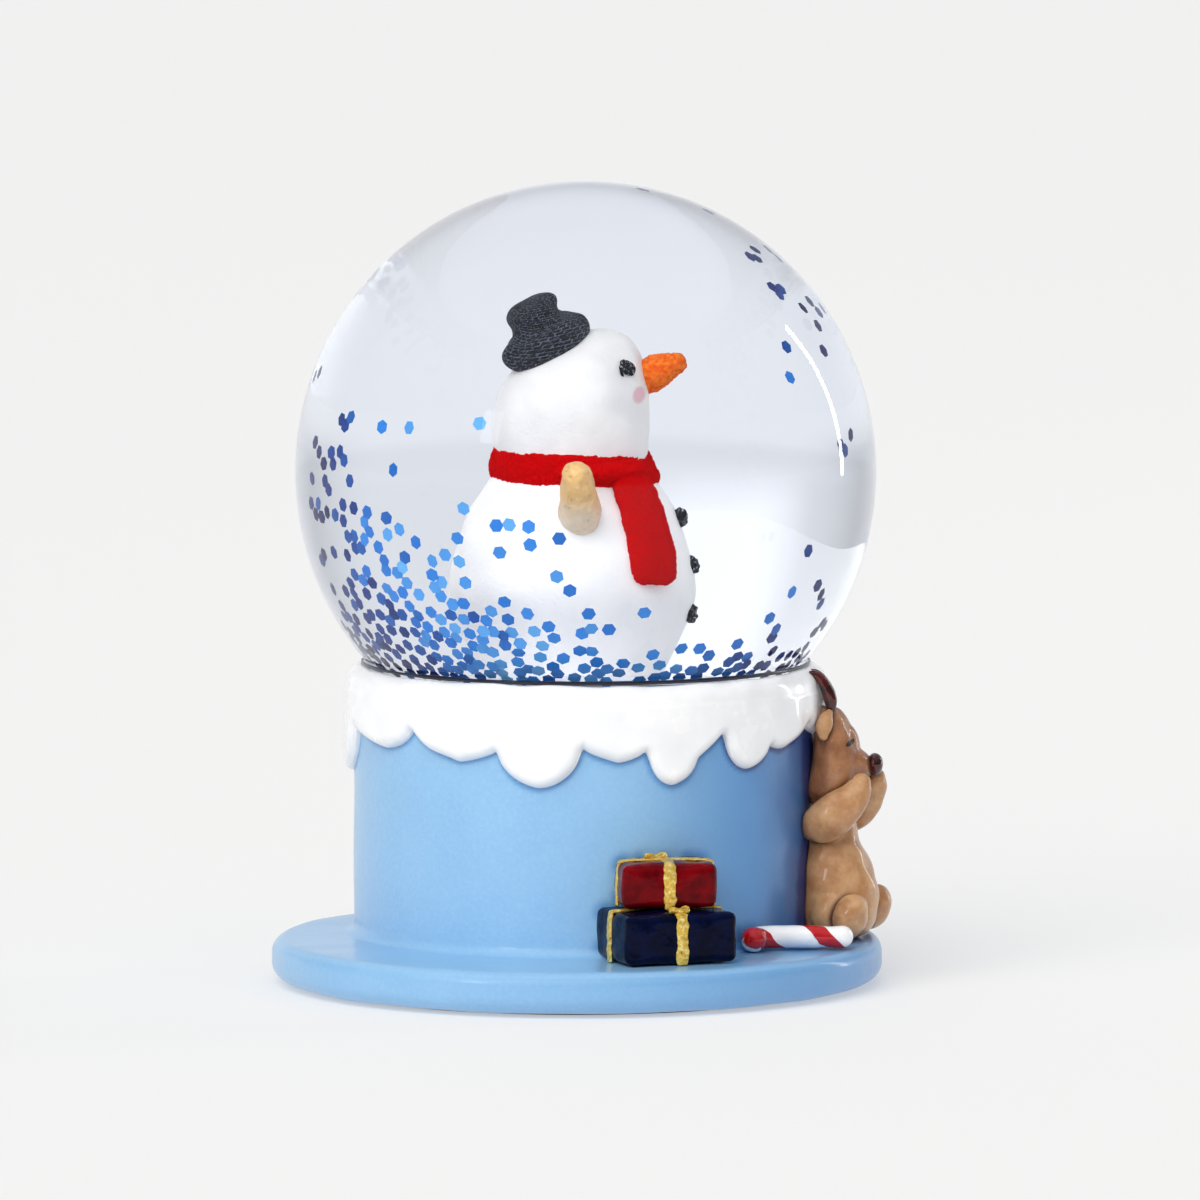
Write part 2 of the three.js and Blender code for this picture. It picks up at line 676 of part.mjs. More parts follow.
function giftBow(x, y, z) {
  const loop = (turn) => ball(0.56, 0.26, 0.28, 10, 6).translate(0.48, 0, 0).rotateY(-0.3).rotateZ(turn);
  return join(ball(0.28, 0.28, 0.28, 8, 6), loop(0.4), loop(0.4 + Math.PI)).translate(x, y, z);
}

function placed(geometry, [x, y], z, turn) {
  return geometry.clone().rotateZ(turn).translate(x, y, z);
}

function gifts() {
  const wall = drumClearance();
  const blueZ = PLINTH_TOP + GLUE_GAP;
  const redZ = blueZ + BLUE_GIFT[2] + RIBBON_THICKNESS + 0.1;
  const blue = (shape) => cut(placed(shape, BLUE_GIFT_CORNER, blueZ, BLUE_GIFT_TURN), wall);
  const red = (shape) => cut(placed(shape, RED_GIFT_CORNER, redZ, RED_GIFT_TURN), wall);
  const blueTop = BLUE_GIFT[2] + RIBBON_THICKNESS + BOW_LIFT;
  const redTop = RED_GIFT[2] + RIBBON_THICKNESS + BOW_LIFT;
  const redSpace = placed(giftBox(RED_GIFT, RIBBON_THICKNESS + 0.1), RED_GIFT_CORNER, redZ, RED_GIFT_TURN);
  const redRibbonSpace = placed(grown(giftBox(RED_GIFT, RIBBON_THICKNESS), 0.1), RED_GIFT_CORNER, redZ, RED_GIFT_TURN);
  return [
    mesh("gift_blue", blue(giftBox(BLUE_GIFT)), "blue"),
    mesh("gift_blue_ribbon", blue(giftRibbon(BLUE_GIFT)), "gold", 0.6),
    mesh("gift_blue_bow", cut(blue(giftBow(BLUE_GIFT[0] / 2, 0.7, blueTop)), redSpace, redRibbonSpace), "gold", 0.6),
    mesh("gift_red", red(giftBox(RED_GIFT)), "red"),
    mesh("gift_red_ribbon", red(giftRibbon(RED_GIFT)), "gold", 0.6),
    mesh("gift_red_bow", red(giftBow(RED_GIFT[0] / 2, RED_GIFT[1] / 2, redTop)), "gold", 0.6),
  ];
}

function candyCane() {
  const z = PLINTH_TOP + GLUE_GAP + CANE_RADIUS;
  const path = [new THREE.Vector3(...CANE_FOOT, z), new THREE.Vector3((CANE_FOOT[0] + CANE_BEND[0]) / 2, CANE_FOOT[1], z)];
  arc(CANE_BEND[0], CANE_BEND[1] - CANE_HOOK_RADIUS, CANE_HOOK_RADIUS, 90, 195, 6)
    .forEach(([x, y]) => path.push(new THREE.Vector3(x, y, z)));
  const section = new THREE.Shape().absarc(0, 0, CANE_RADIUS, 0, TURN);
  return new THREE.ExtrudeGeometry(section, {
    steps: 18, curveSegments: 6, bevelEnabled: false, extrudePath: new THREE.CatmullRomCurve3(path),
  });
}

// ---- Assembly ----

const globe = new THREE.Group();
globe.name = "water_globe";
const shapes = snowmanShapes();
globe.add(
  mesh("base_casting", baseCasting(), "base"),
  mesh("base_pad", padDisc(PAD_RADIUS, 0, PAD_THICKNESS), "pad"),
  mesh("snow_collar", snowCollar(), "snow"),
  mesh("globe_bond", ring(NECK_RADIUS + GLUE_GAP, SEAT_RADIUS - GLUE_GAP, BOND_BOTTOM, BOND_TOP), "bond"),
  mesh("rubber_stopper", rubberStopper(), "rubber"),
  mesh("figure_plate", figurePlate(), "snow"),
  mesh("liquid_fill", liquidFill(shapes), "liquid"),
  mesh("glass_globe", glassGlobe(), "glass"),
  snowman(shapes),
  reindeer(),
  ...gifts(),
  mesh("candy_cane", candyCane(), "cane"),
);

export default globe;
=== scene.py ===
"""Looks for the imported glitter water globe: fine skins, paint, glass, water, flakes and a plain studio."""

import math

import bmesh
import bpy
import numpy as np
from mathutils import Matrix, Vector, kdtree, noise


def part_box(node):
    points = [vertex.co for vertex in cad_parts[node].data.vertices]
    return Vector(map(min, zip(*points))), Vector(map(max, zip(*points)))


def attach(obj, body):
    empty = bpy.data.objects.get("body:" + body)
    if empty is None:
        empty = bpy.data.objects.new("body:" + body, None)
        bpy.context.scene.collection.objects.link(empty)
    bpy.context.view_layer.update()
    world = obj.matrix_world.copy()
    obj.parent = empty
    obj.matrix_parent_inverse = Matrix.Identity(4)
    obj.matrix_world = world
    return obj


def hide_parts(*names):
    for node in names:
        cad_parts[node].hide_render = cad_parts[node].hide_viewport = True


MM = 0.001
TURN = 2 * math.pi
SEED = 7

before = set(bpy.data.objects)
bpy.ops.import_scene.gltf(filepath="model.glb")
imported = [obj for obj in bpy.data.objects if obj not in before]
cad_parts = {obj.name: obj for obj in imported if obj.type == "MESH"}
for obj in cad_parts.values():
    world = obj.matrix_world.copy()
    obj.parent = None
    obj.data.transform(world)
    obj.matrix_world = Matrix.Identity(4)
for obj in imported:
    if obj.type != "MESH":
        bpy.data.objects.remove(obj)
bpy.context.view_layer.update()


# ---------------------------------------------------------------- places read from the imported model


def corners(node):
    """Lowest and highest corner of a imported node, in millimetres."""
    low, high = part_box(node)
    return np.array(low) / MM, np.array(high) / MM


def middle(node):
    low, high = corners(node)
    return (low + high) / 2


GLOBE_RADIUS = 22.5
GLOBE_Z = corners("glass_globe")[1][2] - GLOBE_RADIUS
GLUE_GAP = 0.15
WATER_RADIUS = corners("liquid_fill")[1][2] - GLOBE_Z + GLUE_GAP
NECK_BOTTOM = corners("glass_globe")[0][2]
PLINTH_LOW, PLINTH_HIGH = corners("base_casting")
PLINTH_CENTRE = (PLINTH_LOW + PLINTH_HIGH) / 2
PLINTH_RADIUS = (PLINTH_HIGH[0] - PLINTH_LOW[0]) / 2
PLINTH_TOP = 3.5
PLINTH_BOTTOM = PLINTH_LOW[2]
DRUM_TOP = PLINTH_HIGH[2]
COLLAR_LOW, COLLAR_HIGH = corners("snow_collar")
COLLAR_RADIUS = (COLLAR_HIGH[0] - COLLAR_LOW[0]) / 2
DRUM_RADIUS = 18.0
NECK_RADIUS = 14.4
# The snowman's own origin: the globe's centre, moved to where the figure stands.
SNOWMAN = np.array([middle("snowman_body")[0], 0.0, GLOBE_Z])
# How glass bends light in air, and how it bends it against the water.
GLASS_IOR, WET_IOR = 1.5, 1.128
# The object is looked at from the front and a little above.
FRONT_RISE = math.radians(5.6)


# ---------------------------------------------------------------- mesh tools, all in millimetres


def spline(points, steps):
    """A smooth run of rows through the given rows, with this many spans between each two."""
    p = np.asarray(points, float)
    p = np.vstack([2 * p[0] - p[1], p, 2 * p[-1] - p[-2]])
    t = np.linspace(0, 1, steps, endpoint=False)[:, None]
    runs = [
        0.5 * (2 * b + (c - a) * t + (2 * a - 5 * b + 4 * c - d) * t**2 + (3 * b - a - 3 * c + d) * t**3)
        for a, b, c, d in zip(p, p[1:], p[2:], p[3:])
    ]
    return np.vstack([*runs, p[-2:-1]])


def arc(x, z, radius, start, stop, steps):
    angles = np.radians(np.linspace(start, stop, steps + 1))
    return np.stack([x + radius * np.cos(angles), z + radius * np.sin(angles)], 1)


def turned(profile, sides):
    """Rings of a solid of revolution, from [radius, height] rows."""
    angle = np.linspace(0, TURN, sides, endpoint=False)
    radius, height = np.asarray(profile, float).T
    radius = np.maximum(radius, 0)
    return np.stack(
        [
            radius[:, None] * np.cos(angle),
            radius[:, None] * np.sin(angle),
            np.repeat(height[:, None], sides, 1),
        ],
        2,
    )


def stack(stations, sides=64, steps=6):
    """Rings of an upright body, from rows of [height, centre X, half-length, half-width]."""
    rows = spline(stations, steps)
    angle = np.linspace(0, TURN, sides, endpoint=False)
    return np.stack(
        [
            rows[:, 1, None] + np.maximum(rows[:, 2, None], 0) * np.cos(angle),
            np.maximum(rows[:, 3, None], 0) * np.sin(angle),
            np.repeat(rows[:, 0, None], sides, 1),
        ],
        2,
    )


def limb(stations, sides=32, steps=6, side_hint=(0, 1, 0)):
    """Rings of a limb, from rows of [x, y, z, radius across, radius in depth], with domed ends."""
    rows = spline(stations, steps)
    centre = rows[:, :3]
    along = np.gradient(centre, axis=0)
    along /= np.linalg.norm(along, axis=1)[:, None]
    side = np.cross(np.array(side_hint, float), along)
    side /= np.linalg.norm(side, axis=1)[:, None]
    up = np.cross(along, side)
    angle = np.linspace(0, TURN, sides, endpoint=False)
    across, deep = rows[:, 3], rows[:, 4]
    rings = (
        centre[:, None]
        + side[:, None] * (across[:, None] * np.cos(angle))[..., None]
        + up[:, None] * (deep[:, None] * np.sin(angle))[..., None]
    )
    head = dome(centre[0], rings[0], -along[0], min(across[0], deep[0]))[::-1]
    tail = dome(centre[-1], rings[-1], along[-1], min(across[-1], deep[-1]))
    return np.concatenate([head, rings, tail])


def dome(centre, ring, out, height, steps=6):
    """Rings that close a ring's end with a round dome."""
    angles = np.radians(np.linspace(0, 89, steps + 1))[1:]
    return np.array([centre + (ring - centre) * math.cos(a) + out * height * math.sin(a) for a in angles])


def ball(rx, ry, rz, at=(0, 0, 0), sides=48):
    """Rings of an ellipsoid with these three radii."""
    profile = arc(0, 0, 1, -89, 89, sides // 2)
    return turned(profile, sides) * [rx, ry, rz] + np.array(at, float)


def bent(rings, axis, degrees, about=(0, 0, 0)):
    """The same rings turned about an axis through a point."""
    turn = np.array(Matrix.Rotation(math.radians(degrees), 3, axis))
    return (rings - np.array(about)) @ turn.T + np.array(about)


def faces_of(rings, looped=False):
    """Vertices, faces and face-corner UVs of a skin over rings; open ends get a fan."""
    rings = np.asarray(rings, float)
    count, sides = rings.shape[:2]
    spans = count if looped else count - 1
    r, c = (a.ravel() for a in np.meshgrid(np.arange(spans), np.arange(sides), indexing="ij"))
    nr, nc = (r + 1) % count, (c + 1) % sides
    quads = np.stack([r * sides + c, r * sides + nc, nr * sides + nc, nr * sides + c], 1)
    u0, u1, v0, v1 = c / sides, (c + 1) / sides, r / spans, (r + 1) / spans
    uvs = np.stack([u0, v0, u1, v0, u1, v1, u0, v1], 1).reshape(-1, 2)
    verts, faces, corner_uvs = rings.reshape(-1, 3), quads.tolist(), [uvs]
    if not looped:
        hubs = np.array([rings[0].mean(0), rings[-1].mean(0)])
        verts = np.vstack([verts, hubs])
        first, last = count * sides, count * sides + 1
        ring = np.arange(sides)
        after = (ring + 1) % sides
        faces += np.stack([np.full(sides, first), after, ring], 1).tolist()
        end = (count - 1) * sides
        faces += np.stack([np.full(sides, last), end + ring, end + after], 1).tolist()
        for v in (0.0, 1.0):
            fan = np.stack([ring / sides, np.full(sides, v)] * 3, 1).reshape(-1, 2)
            corner_uvs.append(fan)
    return verts, faces, np.vstack(corner_uvs)


def mesh_of(name, *shapes, looped=False, uv=True):
    """One mesh, in millimetres, from one or more stacks of rings."""
    verts, faces, uvs, start = [], [], [], 0
    for rings in shapes:
        v, f, t = faces_of(rings, looped)
        verts.append(v)
        faces += [[i + start for i in face] for face in f]
        uvs.append(t)
        start += len(v)
    mesh = bpy.data.meshes.new(name)
    mesh.from_pydata(np.vstack(verts).tolist(), [], faces)
    if uv:
        layer = mesh.uv_layers.new(name="UVMap")
        layer.data.foreach_set("uv", np.vstack(uvs).astype(np.float32).ravel())
    tidy(mesh)
    return mesh


def joined_mesh(name, *meshes):
    """Several meshes as one, each still its own closed skin."""
    work = bmesh.new()
    for mesh in meshes:
        work.from_mesh(mesh)
    result = bpy.data.meshes.new(name)
    work.to_mesh(result)
    work.free()
    return result


MERGE = 1e-5


def tidy(mesh):
    """Merges doubled points and turns every face outwards."""
    work = bmesh.new()
    work.from_mesh(mesh)
    bmesh.ops.remove_doubles(work, verts=work.verts, dist=MERGE)
    bmesh.ops.dissolve_degenerate(work, edges=work.edges, dist=MERGE)
    bmesh.ops.recalc_face_normals(work, faces=work.faces)
    work.to_mesh(mesh)
    work.free()


def evaluated(mesh, *modifiers):
    """The mesh after modifiers, each given as (type, settings)."""
    holder = bpy.data.objects.new("holder", mesh)
    bpy.context.scene.collection.objects.link(holder)
    for kind, settings in modifiers:
        modifier = holder.modifiers.new(kind.title(), kind)
        for key, value in settings.items():
            setattr(modifier, key, value)
    graph = bpy.context.evaluated_depsgraph_get()
    result = bpy.data.meshes.new_from_object(holder.evaluated_get(graph), depsgraph=graph)
    bpy.data.objects.remove(holder)
    return result


def melted(name, *shapes, voxel=0.14, smooth=8):
    """Overlapping shapes run together into one skin, as in a casting."""
    mesh = mesh_of(name, *shapes, uv=False)
    mesh = evaluated(
        mesh,
        ("REMESH", {"mode": "VOXEL", "voxel_size": voxel, "adaptivity": 0.0}),
        ("SMOOTH", {"factor": 0.5, "iterations": smooth}),
    )
    mesh.name = name
    return mesh


def points_of(mesh):
    co = np.empty(len(mesh.vertices) * 3, np.float32)
    mesh.vertices.foreach_get("co", co)
    return co.reshape(-1, 3).astype(float)


def set_points(mesh, points):
    mesh.vertices.foreach_set("co", points.astype(np.float32).ravel())
    mesh.update()


def normals_of(mesh):
    out = np.empty(len(mesh.vertices) * 3, np.float32)
    mesh.vertex_normals.foreach_get("vector", out)
    return out.reshape(-1, 3).astype(float)


def tree_of(points):
    """A search tree over points, for the distance to the nearest of them."""
    tree = kdtree.KDTree(len(points))
    for i, point in enumerate(points):
        tree.insert(point, i)
    tree.balance()
    return tree


def mark_points(mesh, name, values):
    """Gives the mesh a number at every point, for its paint to read."""
    layer = mesh.attributes.new(name, "FLOAT", "POINT")
    layer.data.foreach_set("value", values.astype(np.float32))


def uneven(mesh, amount, size, offset=0.0):
    """Moves the skin in and out by soft noise: amount and size in millimetres."""
    points = points_of(mesh)
    push = np.array([noise.noise(Vector((p / size + offset).tolist())) for p in points])
    set_points(mesh, points + normals_of(mesh) * (push * amount)[:, None])
    return mesh


def place_piece(name, mesh, paints, stands_for=()):
    """Brings a millimetre mesh into the row frame as a finished piece."""
    mesh.transform(Matrix.Scale(MM, 4))
    mesh.polygons.foreach_set("use_smooth", [True] * len(mesh.polygons))
    mesh.materials.clear()
    for paint in paints if isinstance(paints, (list, tuple)) else [paints]:
        mesh.materials.append(paint)
    piece = bpy.data.objects.new(name, mesh)
    bpy.context.scene.collection.objects.link(piece)
    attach(piece, "root")
    if stands_for:
        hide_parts(*stands_for)
    return piece


# ---------------------------------------------------------------- paint tools


def rgba(code):
    """A colour as linear numbers, from a #rrggbb code."""
    parts = [int(code[i : i + 2], 16) / 255 for i in (1, 3, 5)]
    return [*(c / 12.92 if c <= 0.04045 else ((c + 0.055) / 1.055) ** 2.4 for c in parts), 1.0]


class Value:
    """A shader socket that adds its own Math nodes when used in arithmetic."""

    def __init__(self, paint, socket):
        self.paint, self.socket = paint, socket

    def math(self, operation, *others):
        inputs = dict(enumerate([self, *others]))
        return self.paint.node("ShaderNodeMath", {"operation": operation}, inputs)

    def swapped(self, operation, other):
        return self.paint.node("ShaderNodeMath", {"operation": operation}, {0: other, 1: self})

    def __add__(self, other):
        return self.math("ADD", other)

    def __sub__(self, other):
        return self.math("SUBTRACT", other)

    def __mul__(self, other):
        return self.math("MULTIPLY", other)

    def __truediv__(self, other):
        return self.math("DIVIDE", other)

    def __radd__(self, other):
        return self + other

    def __rmul__(self, other):
        return self * other

    def __rsub__(self, other):
        return self.swapped("SUBTRACT", other)

    def __rtruediv__(self, other):
        return self.swapped("DIVIDE", other)


class Paint:
    """One material, or the world, and its node tree. Sizes in it are millimetres."""

    def __init__(self, name, holder=None):
        self.material = holder or bpy.data.materials.new(name)
        self.material.use_nodes = True
        self.tree = self.material.node_tree
        self.tree.nodes.clear()

    def node(self, kind, settings=None, inputs=None, out=0):
        made = self.tree.nodes.new(kind)
        for key, value in (settings or {}).items():
            if key == "stops":
                self.set_stops(made.color_ramp, value)
            else:
                setattr(made, key, value)
        for key, value in (inputs or {}).items():
            self.plug(made.inputs[key], value)
        return Value(self, made.outputs[out])

    def plug(self, socket, value):
        if isinstance(value, Value):
            self.tree.links.new(value.socket, socket)
        elif isinstance(value, str):
            socket.default_value = rgba(value)
        elif value is not None:
            socket.default_value = value

    def set_stops(self, ramp, stops):
        while len(ramp.elements) < len(stops):
            ramp.elements.new(1.0)
        for element, (position, code) in zip(ramp.elements, stops):
            element.position, element.color = position, rgba(code)

    def place(self):
        """Object coordinates in millimetres."""
        spot = self.node("ShaderNodeTexCoord", out="Object")
        return self.vector("SCALE", spot, Scale=1 / MM)

    def vector(self, operation, *parts, out=0, **named):
        inputs = {**dict(enumerate(parts)), **named}
        return self.node("ShaderNodeVectorMath", {"operation": operation}, inputs, out)

    def axis(self, vector, name):
        """One of the three numbers of a vector: X, Y or Z."""
        return self.node("ShaderNodeSeparateXYZ", inputs={0: vector}, out=name)

    def noise(self, size, detail=2.0, rough=0.5, at=None, twist=0.0):
        """Soft noise from 0 to 1 whose lumps are about this many millimetres."""
        inputs = {"Vector": at or self.place(), "Scale": 1 / size, "Detail": detail}
        inputs.update({"Roughness": rough, "Distortion": twist})
        return self.node("ShaderNodeTexNoise", inputs=inputs, out="Fac")

    def cells(self, size, at=None, feature="F1"):
        settings = {"feature": feature}
        return self.node("ShaderNodeTexVoronoi", settings, {"Vector": at or self.place(), "Scale": 1 / size})

    def between(self, value, low, high):
        """0 below low, 1 above high, and smooth between."""
        settings = {"interpolation_type": "SMOOTHSTEP"}
        return self.node("ShaderNodeMapRange", settings, {"Value": value, "From Min": low, "From Max": high})

    def blend(self, factor, first, second, mode="MIX"):
        settings = {"data_type": "RGBA", "blend_type": mode}
        return self.node("ShaderNodeMix", settings, {0: factor, 6: first, 7: second}, out=2)

    def attribute(self, name):
        return self.node("ShaderNodeAttribute", {"attribute_name": name}, out="Fac")

    def uv(self):
        return self.node("ShaderNodeUVMap", {"uv_map": "UVMap"})

    def spot(self, centre, radii, edge=0.15, wobble=0.0, turn=0.0):
        """1 inside an ellipsoid of this centre and radii, with a soft edge."""
        offset = self.vector("SUBTRACT", self.place(), tuple(centre))
        if turn:
            settings = {"rotation_type": "Y_AXIS"}
            offset = self.node("ShaderNodeVectorRotate", settings, {"Vector": offset, "Angle": turn})
        shrunk = self.vector("DIVIDE", offset, tuple(radii))
        reach = self.vector("LENGTH", shrunk, out="Value")
        if wobble:
            reach = reach + (self.noise(0.25) - 0.5) * wobble
        return 1 - self.between(reach, 1 - edge, 1 + edge)

    def bump(self, height, depth):
        """A Normal that raises white areas by depth millimetres."""
        return self.node("ShaderNodeBump", inputs={"Height": height, "Distance": depth * MM})

    def finish(self, **sockets):
        """Ends in a Principled shader whose sockets are given with underscores for spaces."""
        inputs = {key.replace("_", " "): value for key, value in sockets.items()}
        self.output(self.node("ShaderNodeBsdfPrincipled", inputs=inputs))
        return self.material

    def output(self, shader, kind="Material"):
        """Joins a shader to the tree's end, of a material or of the world."""
        end = self.tree.nodes.new(f"ShaderNodeOutput{kind}")
        self.tree.links.new(shader.socket, end.inputs["Surface"])


# ---------------------------------------------------------------- paints


def base_enamel():
    """Sky-blue enamel under satin varnish, with painted shade in darker blue where pieces meet it, under the
    snow's edge and down the base's right side.
    """
    paint = Paint("base_enamel")
    broad = paint.noise(6.0, 2)
    fine = paint.noise(0.35, 3, 0.6)
    colour = paint.blend(broad, "#84b6e2", "#94c4ea")
    colour = paint.blend(paint.between(fine, 0.35, 0.75) * 0.35, colour, "#9fcbee")
    # The mid and deep blues are painted shade, read from the number set on the base's points.
    settled = paint.attribute("settled")
    colour = paint.blend(paint.between(settled, 0.0, 0.55), colour, "#5793cd")
    colour = paint.blend(paint.between(settled + (broad - 0.5) * 0.3, 0.42, 1.0), colour, "#16387c")
    height = fine * 0.5 + paint.noise(1.3, 2) * 0.8
    return paint.finish(
        Base_Color=colour,
        Roughness=0.34 + broad * 0.12,
        Coat_Weight=0.45,
        Coat_Roughness=0.14,
        Normal=paint.bump(height, 0.06),
    )


def snow_enamel():
    """Thick white gloss enamel that has pooled a little unevenly."""
    paint = Paint("snow_enamel")
    broad = paint.noise(2.5, 2)
    colour = paint.blend(paint.between(broad, 0.3, 0.7), "#f3f5f8", "#fcfcfd")
    return paint.finish(
        Base_Color=colour,
        Roughness=0.2 + broad * 0.12,
        Coat_Weight=0.5,
        Coat_Roughness=0.06,
        Normal=paint.bump(broad + paint.noise(0.6, 2) * 0.2, 0.05),
    )


def lets_lamps_through(paint, shader, tint="#ffffff"):
    """Light reaches what is inside without being bent on the way."""
    clear = paint.node("ShaderNodeBsdfTransparent", inputs={"Color": tint})
    for ray in ("Is Shadow Ray", "Is Diffuse Ray"):
        factor = paint.node("ShaderNodeLightPath", out=ray)
        shader = paint.node("ShaderNodeMixShader", inputs={0: factor, 1: shader, 2: clear})
    paint.output(shader)
    return paint.material


def clear_glass(name, ior, tint, shine):
    """Glass whose colour drifts very slightly, as in a blown ball."""
    paint = Paint(name)
    drift = paint.blend(paint.noise(14.0, 1), tint, "#ffffff")
    inputs = {"Base Color": drift, "Roughness": 0.0, "IOR": ior, "Transmission Weight": 1.0}
    inputs["Specular Tint"] = shine
    return lets_lamps_through(paint, paint.node("ShaderNodeBsdfPrincipled", inputs=inputs))


def clear_water():
    """Faintly blue water; the wet side of the glass does the bending."""
    paint = Paint("clear_water")
    pale = paint.node("ShaderNodeBsdfTransparent", inputs={"Color": "#fafcff"})
    paler = paint.node("ShaderNodeBsdfTransparent", inputs={"Color": "#fefeff"})
    paint.output(paint.node("ShaderNodeMixShader", inputs={0: paint.noise(16.0, 1), 1: pale, 2: paler}))
    return paint.material


def plain_varnish(name, light, dark, roughness, lump, coat=0.3, depth=0.04, gloss=0.5):
    """Brushed paint of two near shades with a soft, slightly lumpy varnish."""
    paint = Paint(name)
    broad = paint.noise(lump, 3, 0.6)
    colour = paint.blend(paint.between(broad, 0.3, 0.72), dark, light)
    return paint.finish(
        Base_Color=colour,
        Roughness=roughness + broad * 0.1,
        Specular_IOR_Level=gloss,
        Coat_Weight=coat,
        Coat_Roughness=0.1,
        Normal=paint.bump(broad + paint.noise(lump / 4, 2) * 0.3, depth),
    )


def coal_speckle():
    """Black brushed over white so that flecks of it stay bare."""
    paint = Paint("coal_paint")
    fleck = paint.noise(0.2, 3, 0.7, twist=0.5)
    colour = paint.blend(paint.between(fleck, 0.56, 0.64), "#0b0d13", "#b9c0cb")
    return paint.finish(
        Base_Color=colour,
        Roughness=0.5,
        Specular_IOR_Level=0.2,
        Normal=paint.bump(fleck, 0.08),
    )


def twig_paint():
    """Ochre at the tip and paler sand toward the body, rubbed and lumpy."""
    paint = Paint("twig_paint")
    lump = paint.noise(0.5, 3, 0.65)
    height = paint.axis(paint.place(), "Z") + (lump - 0.5) * 1.6
    tip = paint.between(height, GLOBE_Z - 2.4, GLOBE_Z - 0.8)
    colour = paint.blend(tip, "#ecd6b8", "#efc07c")
    colour = paint.blend(paint.between(lump, 0.55, 0.75) * 0.6, colour, "#fbe8c6")
    colour = paint.blend(paint.between(lump, 0.45, 0.28) * 0.5, colour, "#a97c42")
    return paint.finish(
        Base_Color=colour,
        Roughness=0.4,
        Coat_Weight=0.2,
        Coat_Roughness=0.2,
        Normal=paint.bump(lump, 0.1),
    )


def fur_coat(name, dark, light, pale, dark_spots=()):
    """Tan paint with painted shade in dark brown in the creases and beside the drum, an even darker tone on
    the ears, and dark marks on top, under gloss varnish.
    """
    paint = Paint(name)
    broad = paint.noise(1.6, 3, 0.6)
    streak = paint.noise(0.3, 3, 0.65, twist=0.6)
    colour = paint.blend(paint.between(broad, 0.3, 0.7), dark, light)
    colour = paint.blend(paint.between(streak, 0.55, 0.8) * 0.4, colour, pale)
    # Painted shade: dark brown where another piece or the drum's wall is close; the ears' even share is their
    # own darker tone.
    crease_shade_and_ear_tone = paint.attribute("crease")
    colour = paint.blend(paint.between(crease_shade_and_ear_tone + (broad - 0.5) * 0.5, 0.15, 0.95), colour, "#5d3423")
    for mark in dark_spots:
        colour = paint.blend(paint.spot(*mark), colour, "#1c1110")
    return paint.finish(
        Base_Color=colour,
        Roughness=0.3 + broad * 0.1,
        Coat_Weight=0.5,
        Coat_Roughness=0.1,
        Normal=paint.bump(streak * 0.4 + broad, 0.06),
    )


def fur_paint():
    return fur_coat("fur_paint", "#b07c50", "#cb9f72", "#d8b288")


def reindeer_face():
    """A darker coat of the fur paint, with a shut eye and half a smile brushed on each side."""
    marks = []
    for side in (-1, 1):
        marks.append((REINDEER + (0.95, side * 1.3, 15.2), (0.46, 0.9, 0.2), 0.2, 0.3, 0.6))
        marks.append((REINDEER + (2.3, side * 0.7, 12.35), (0.2, 0.5, 0.32), 0.2, 0.3))
    return fur_coat("reindeer_face_paint", "#8c5a3b", "#b07c54", "#c4976c", marks)


def antler_enamel():
    """Very dark red-brown gloss."""
    paint = Paint("antler_enamel")
    patch = paint.noise(0.8, 2)
    colour = paint.blend(paint.between(patch, 0.35, 0.75), "#2a0b0b", "#5a1413")
    return paint.finish(
        Base_Color=colour,
        Roughness=0.14 + patch * 0.06,
        Coat_Weight=0.5,
        Coat_Roughness=0.04,
        Normal=paint.bump(patch, 0.05),
    )


def gold_leaf():
    """Gold paint laid on by hand, with dark ground showing through in flecks."""
    paint = Paint("ribbon_gold")
    fleck = paint.noise(0.3, 3, 0.65)
    worn = paint.between(fleck, 0.6, 0.68)
    colour = paint.blend(paint.between(fleck, 0.3, 0.55), "#fff0a0", "#e6bb45")
    colour = paint.blend(worn, colour, "#3a180c")
    return paint.finish(
        Base_Color=colour,
        Metallic=0.45 - worn * 0.45,
        Roughness=0.18 + worn * 0.3,
        Normal=paint.bump(fleck, 0.06),
    )


def scarf_flock():
    """Red flock, matt and slightly tufted."""
    paint = Paint("scarf_flock")
    fuzz = paint.noise(0.12, 4, 0.75)
    broad = paint.noise(1.2, 2)
    colour = paint.blend(paint.between(fuzz, 0.3, 0.7), "#c40206", "#f2060c")
    colour = paint.blend(paint.between(broad, 0.35, 0.75) * 0.5, colour, "#cf0308")
    return paint.finish(
        Base_Color=colour,
        Roughness=0.85,
        Specular_IOR_Level=0.05,
        Normal=paint.bump(fuzz + broad * 0.5, 0.14),
    )


def hat_weave():
    """Charcoal paint over a moulded basket weave."""
    paint = Paint("hat_weave")
    cloth = paint.vector("MULTIPLY", paint.uv(), (26.0, 26.0, 0.0))
    slant = paint.node("ShaderNodeVectorRotate", {"rotation_type": "Z_AXIS"}, {"Vector": cloth, "Angle": 0.6})
    strands = {"Color1": "#000000", "Color2": "#101010", "Mortar": "#ffffff"}
    sizes = {"Scale": 1.0, "Mortar Size": 0.11, "Mortar Smooth": 0.4, "Brick Width": 1.1, "Row Height": 0.7}
    weave = paint.node("ShaderNodeTexBrick", {"offset": 0.5}, {"Vector": slant, **strands, **sizes})
    thread = paint.node("ShaderNodeRGBToBW", inputs={0: weave})
    fuzz = paint.noise(0.25, 3, 0.7)
    colour = paint.blend(fuzz, "#04060a", "#11151d")
    colour = paint.blend(thread * paint.between(fuzz, 0.38, 0.6), colour, "#626c7e")
    return paint.finish(Base_Color=colour, Roughness=0.8, Normal=paint.bump(thread + fuzz * 0.6, 0.1))


# How strongly the snowman's white glows: painted light that brightens it inside the globe.
SNOWMAN_PAINTED_GLOW = 0.1


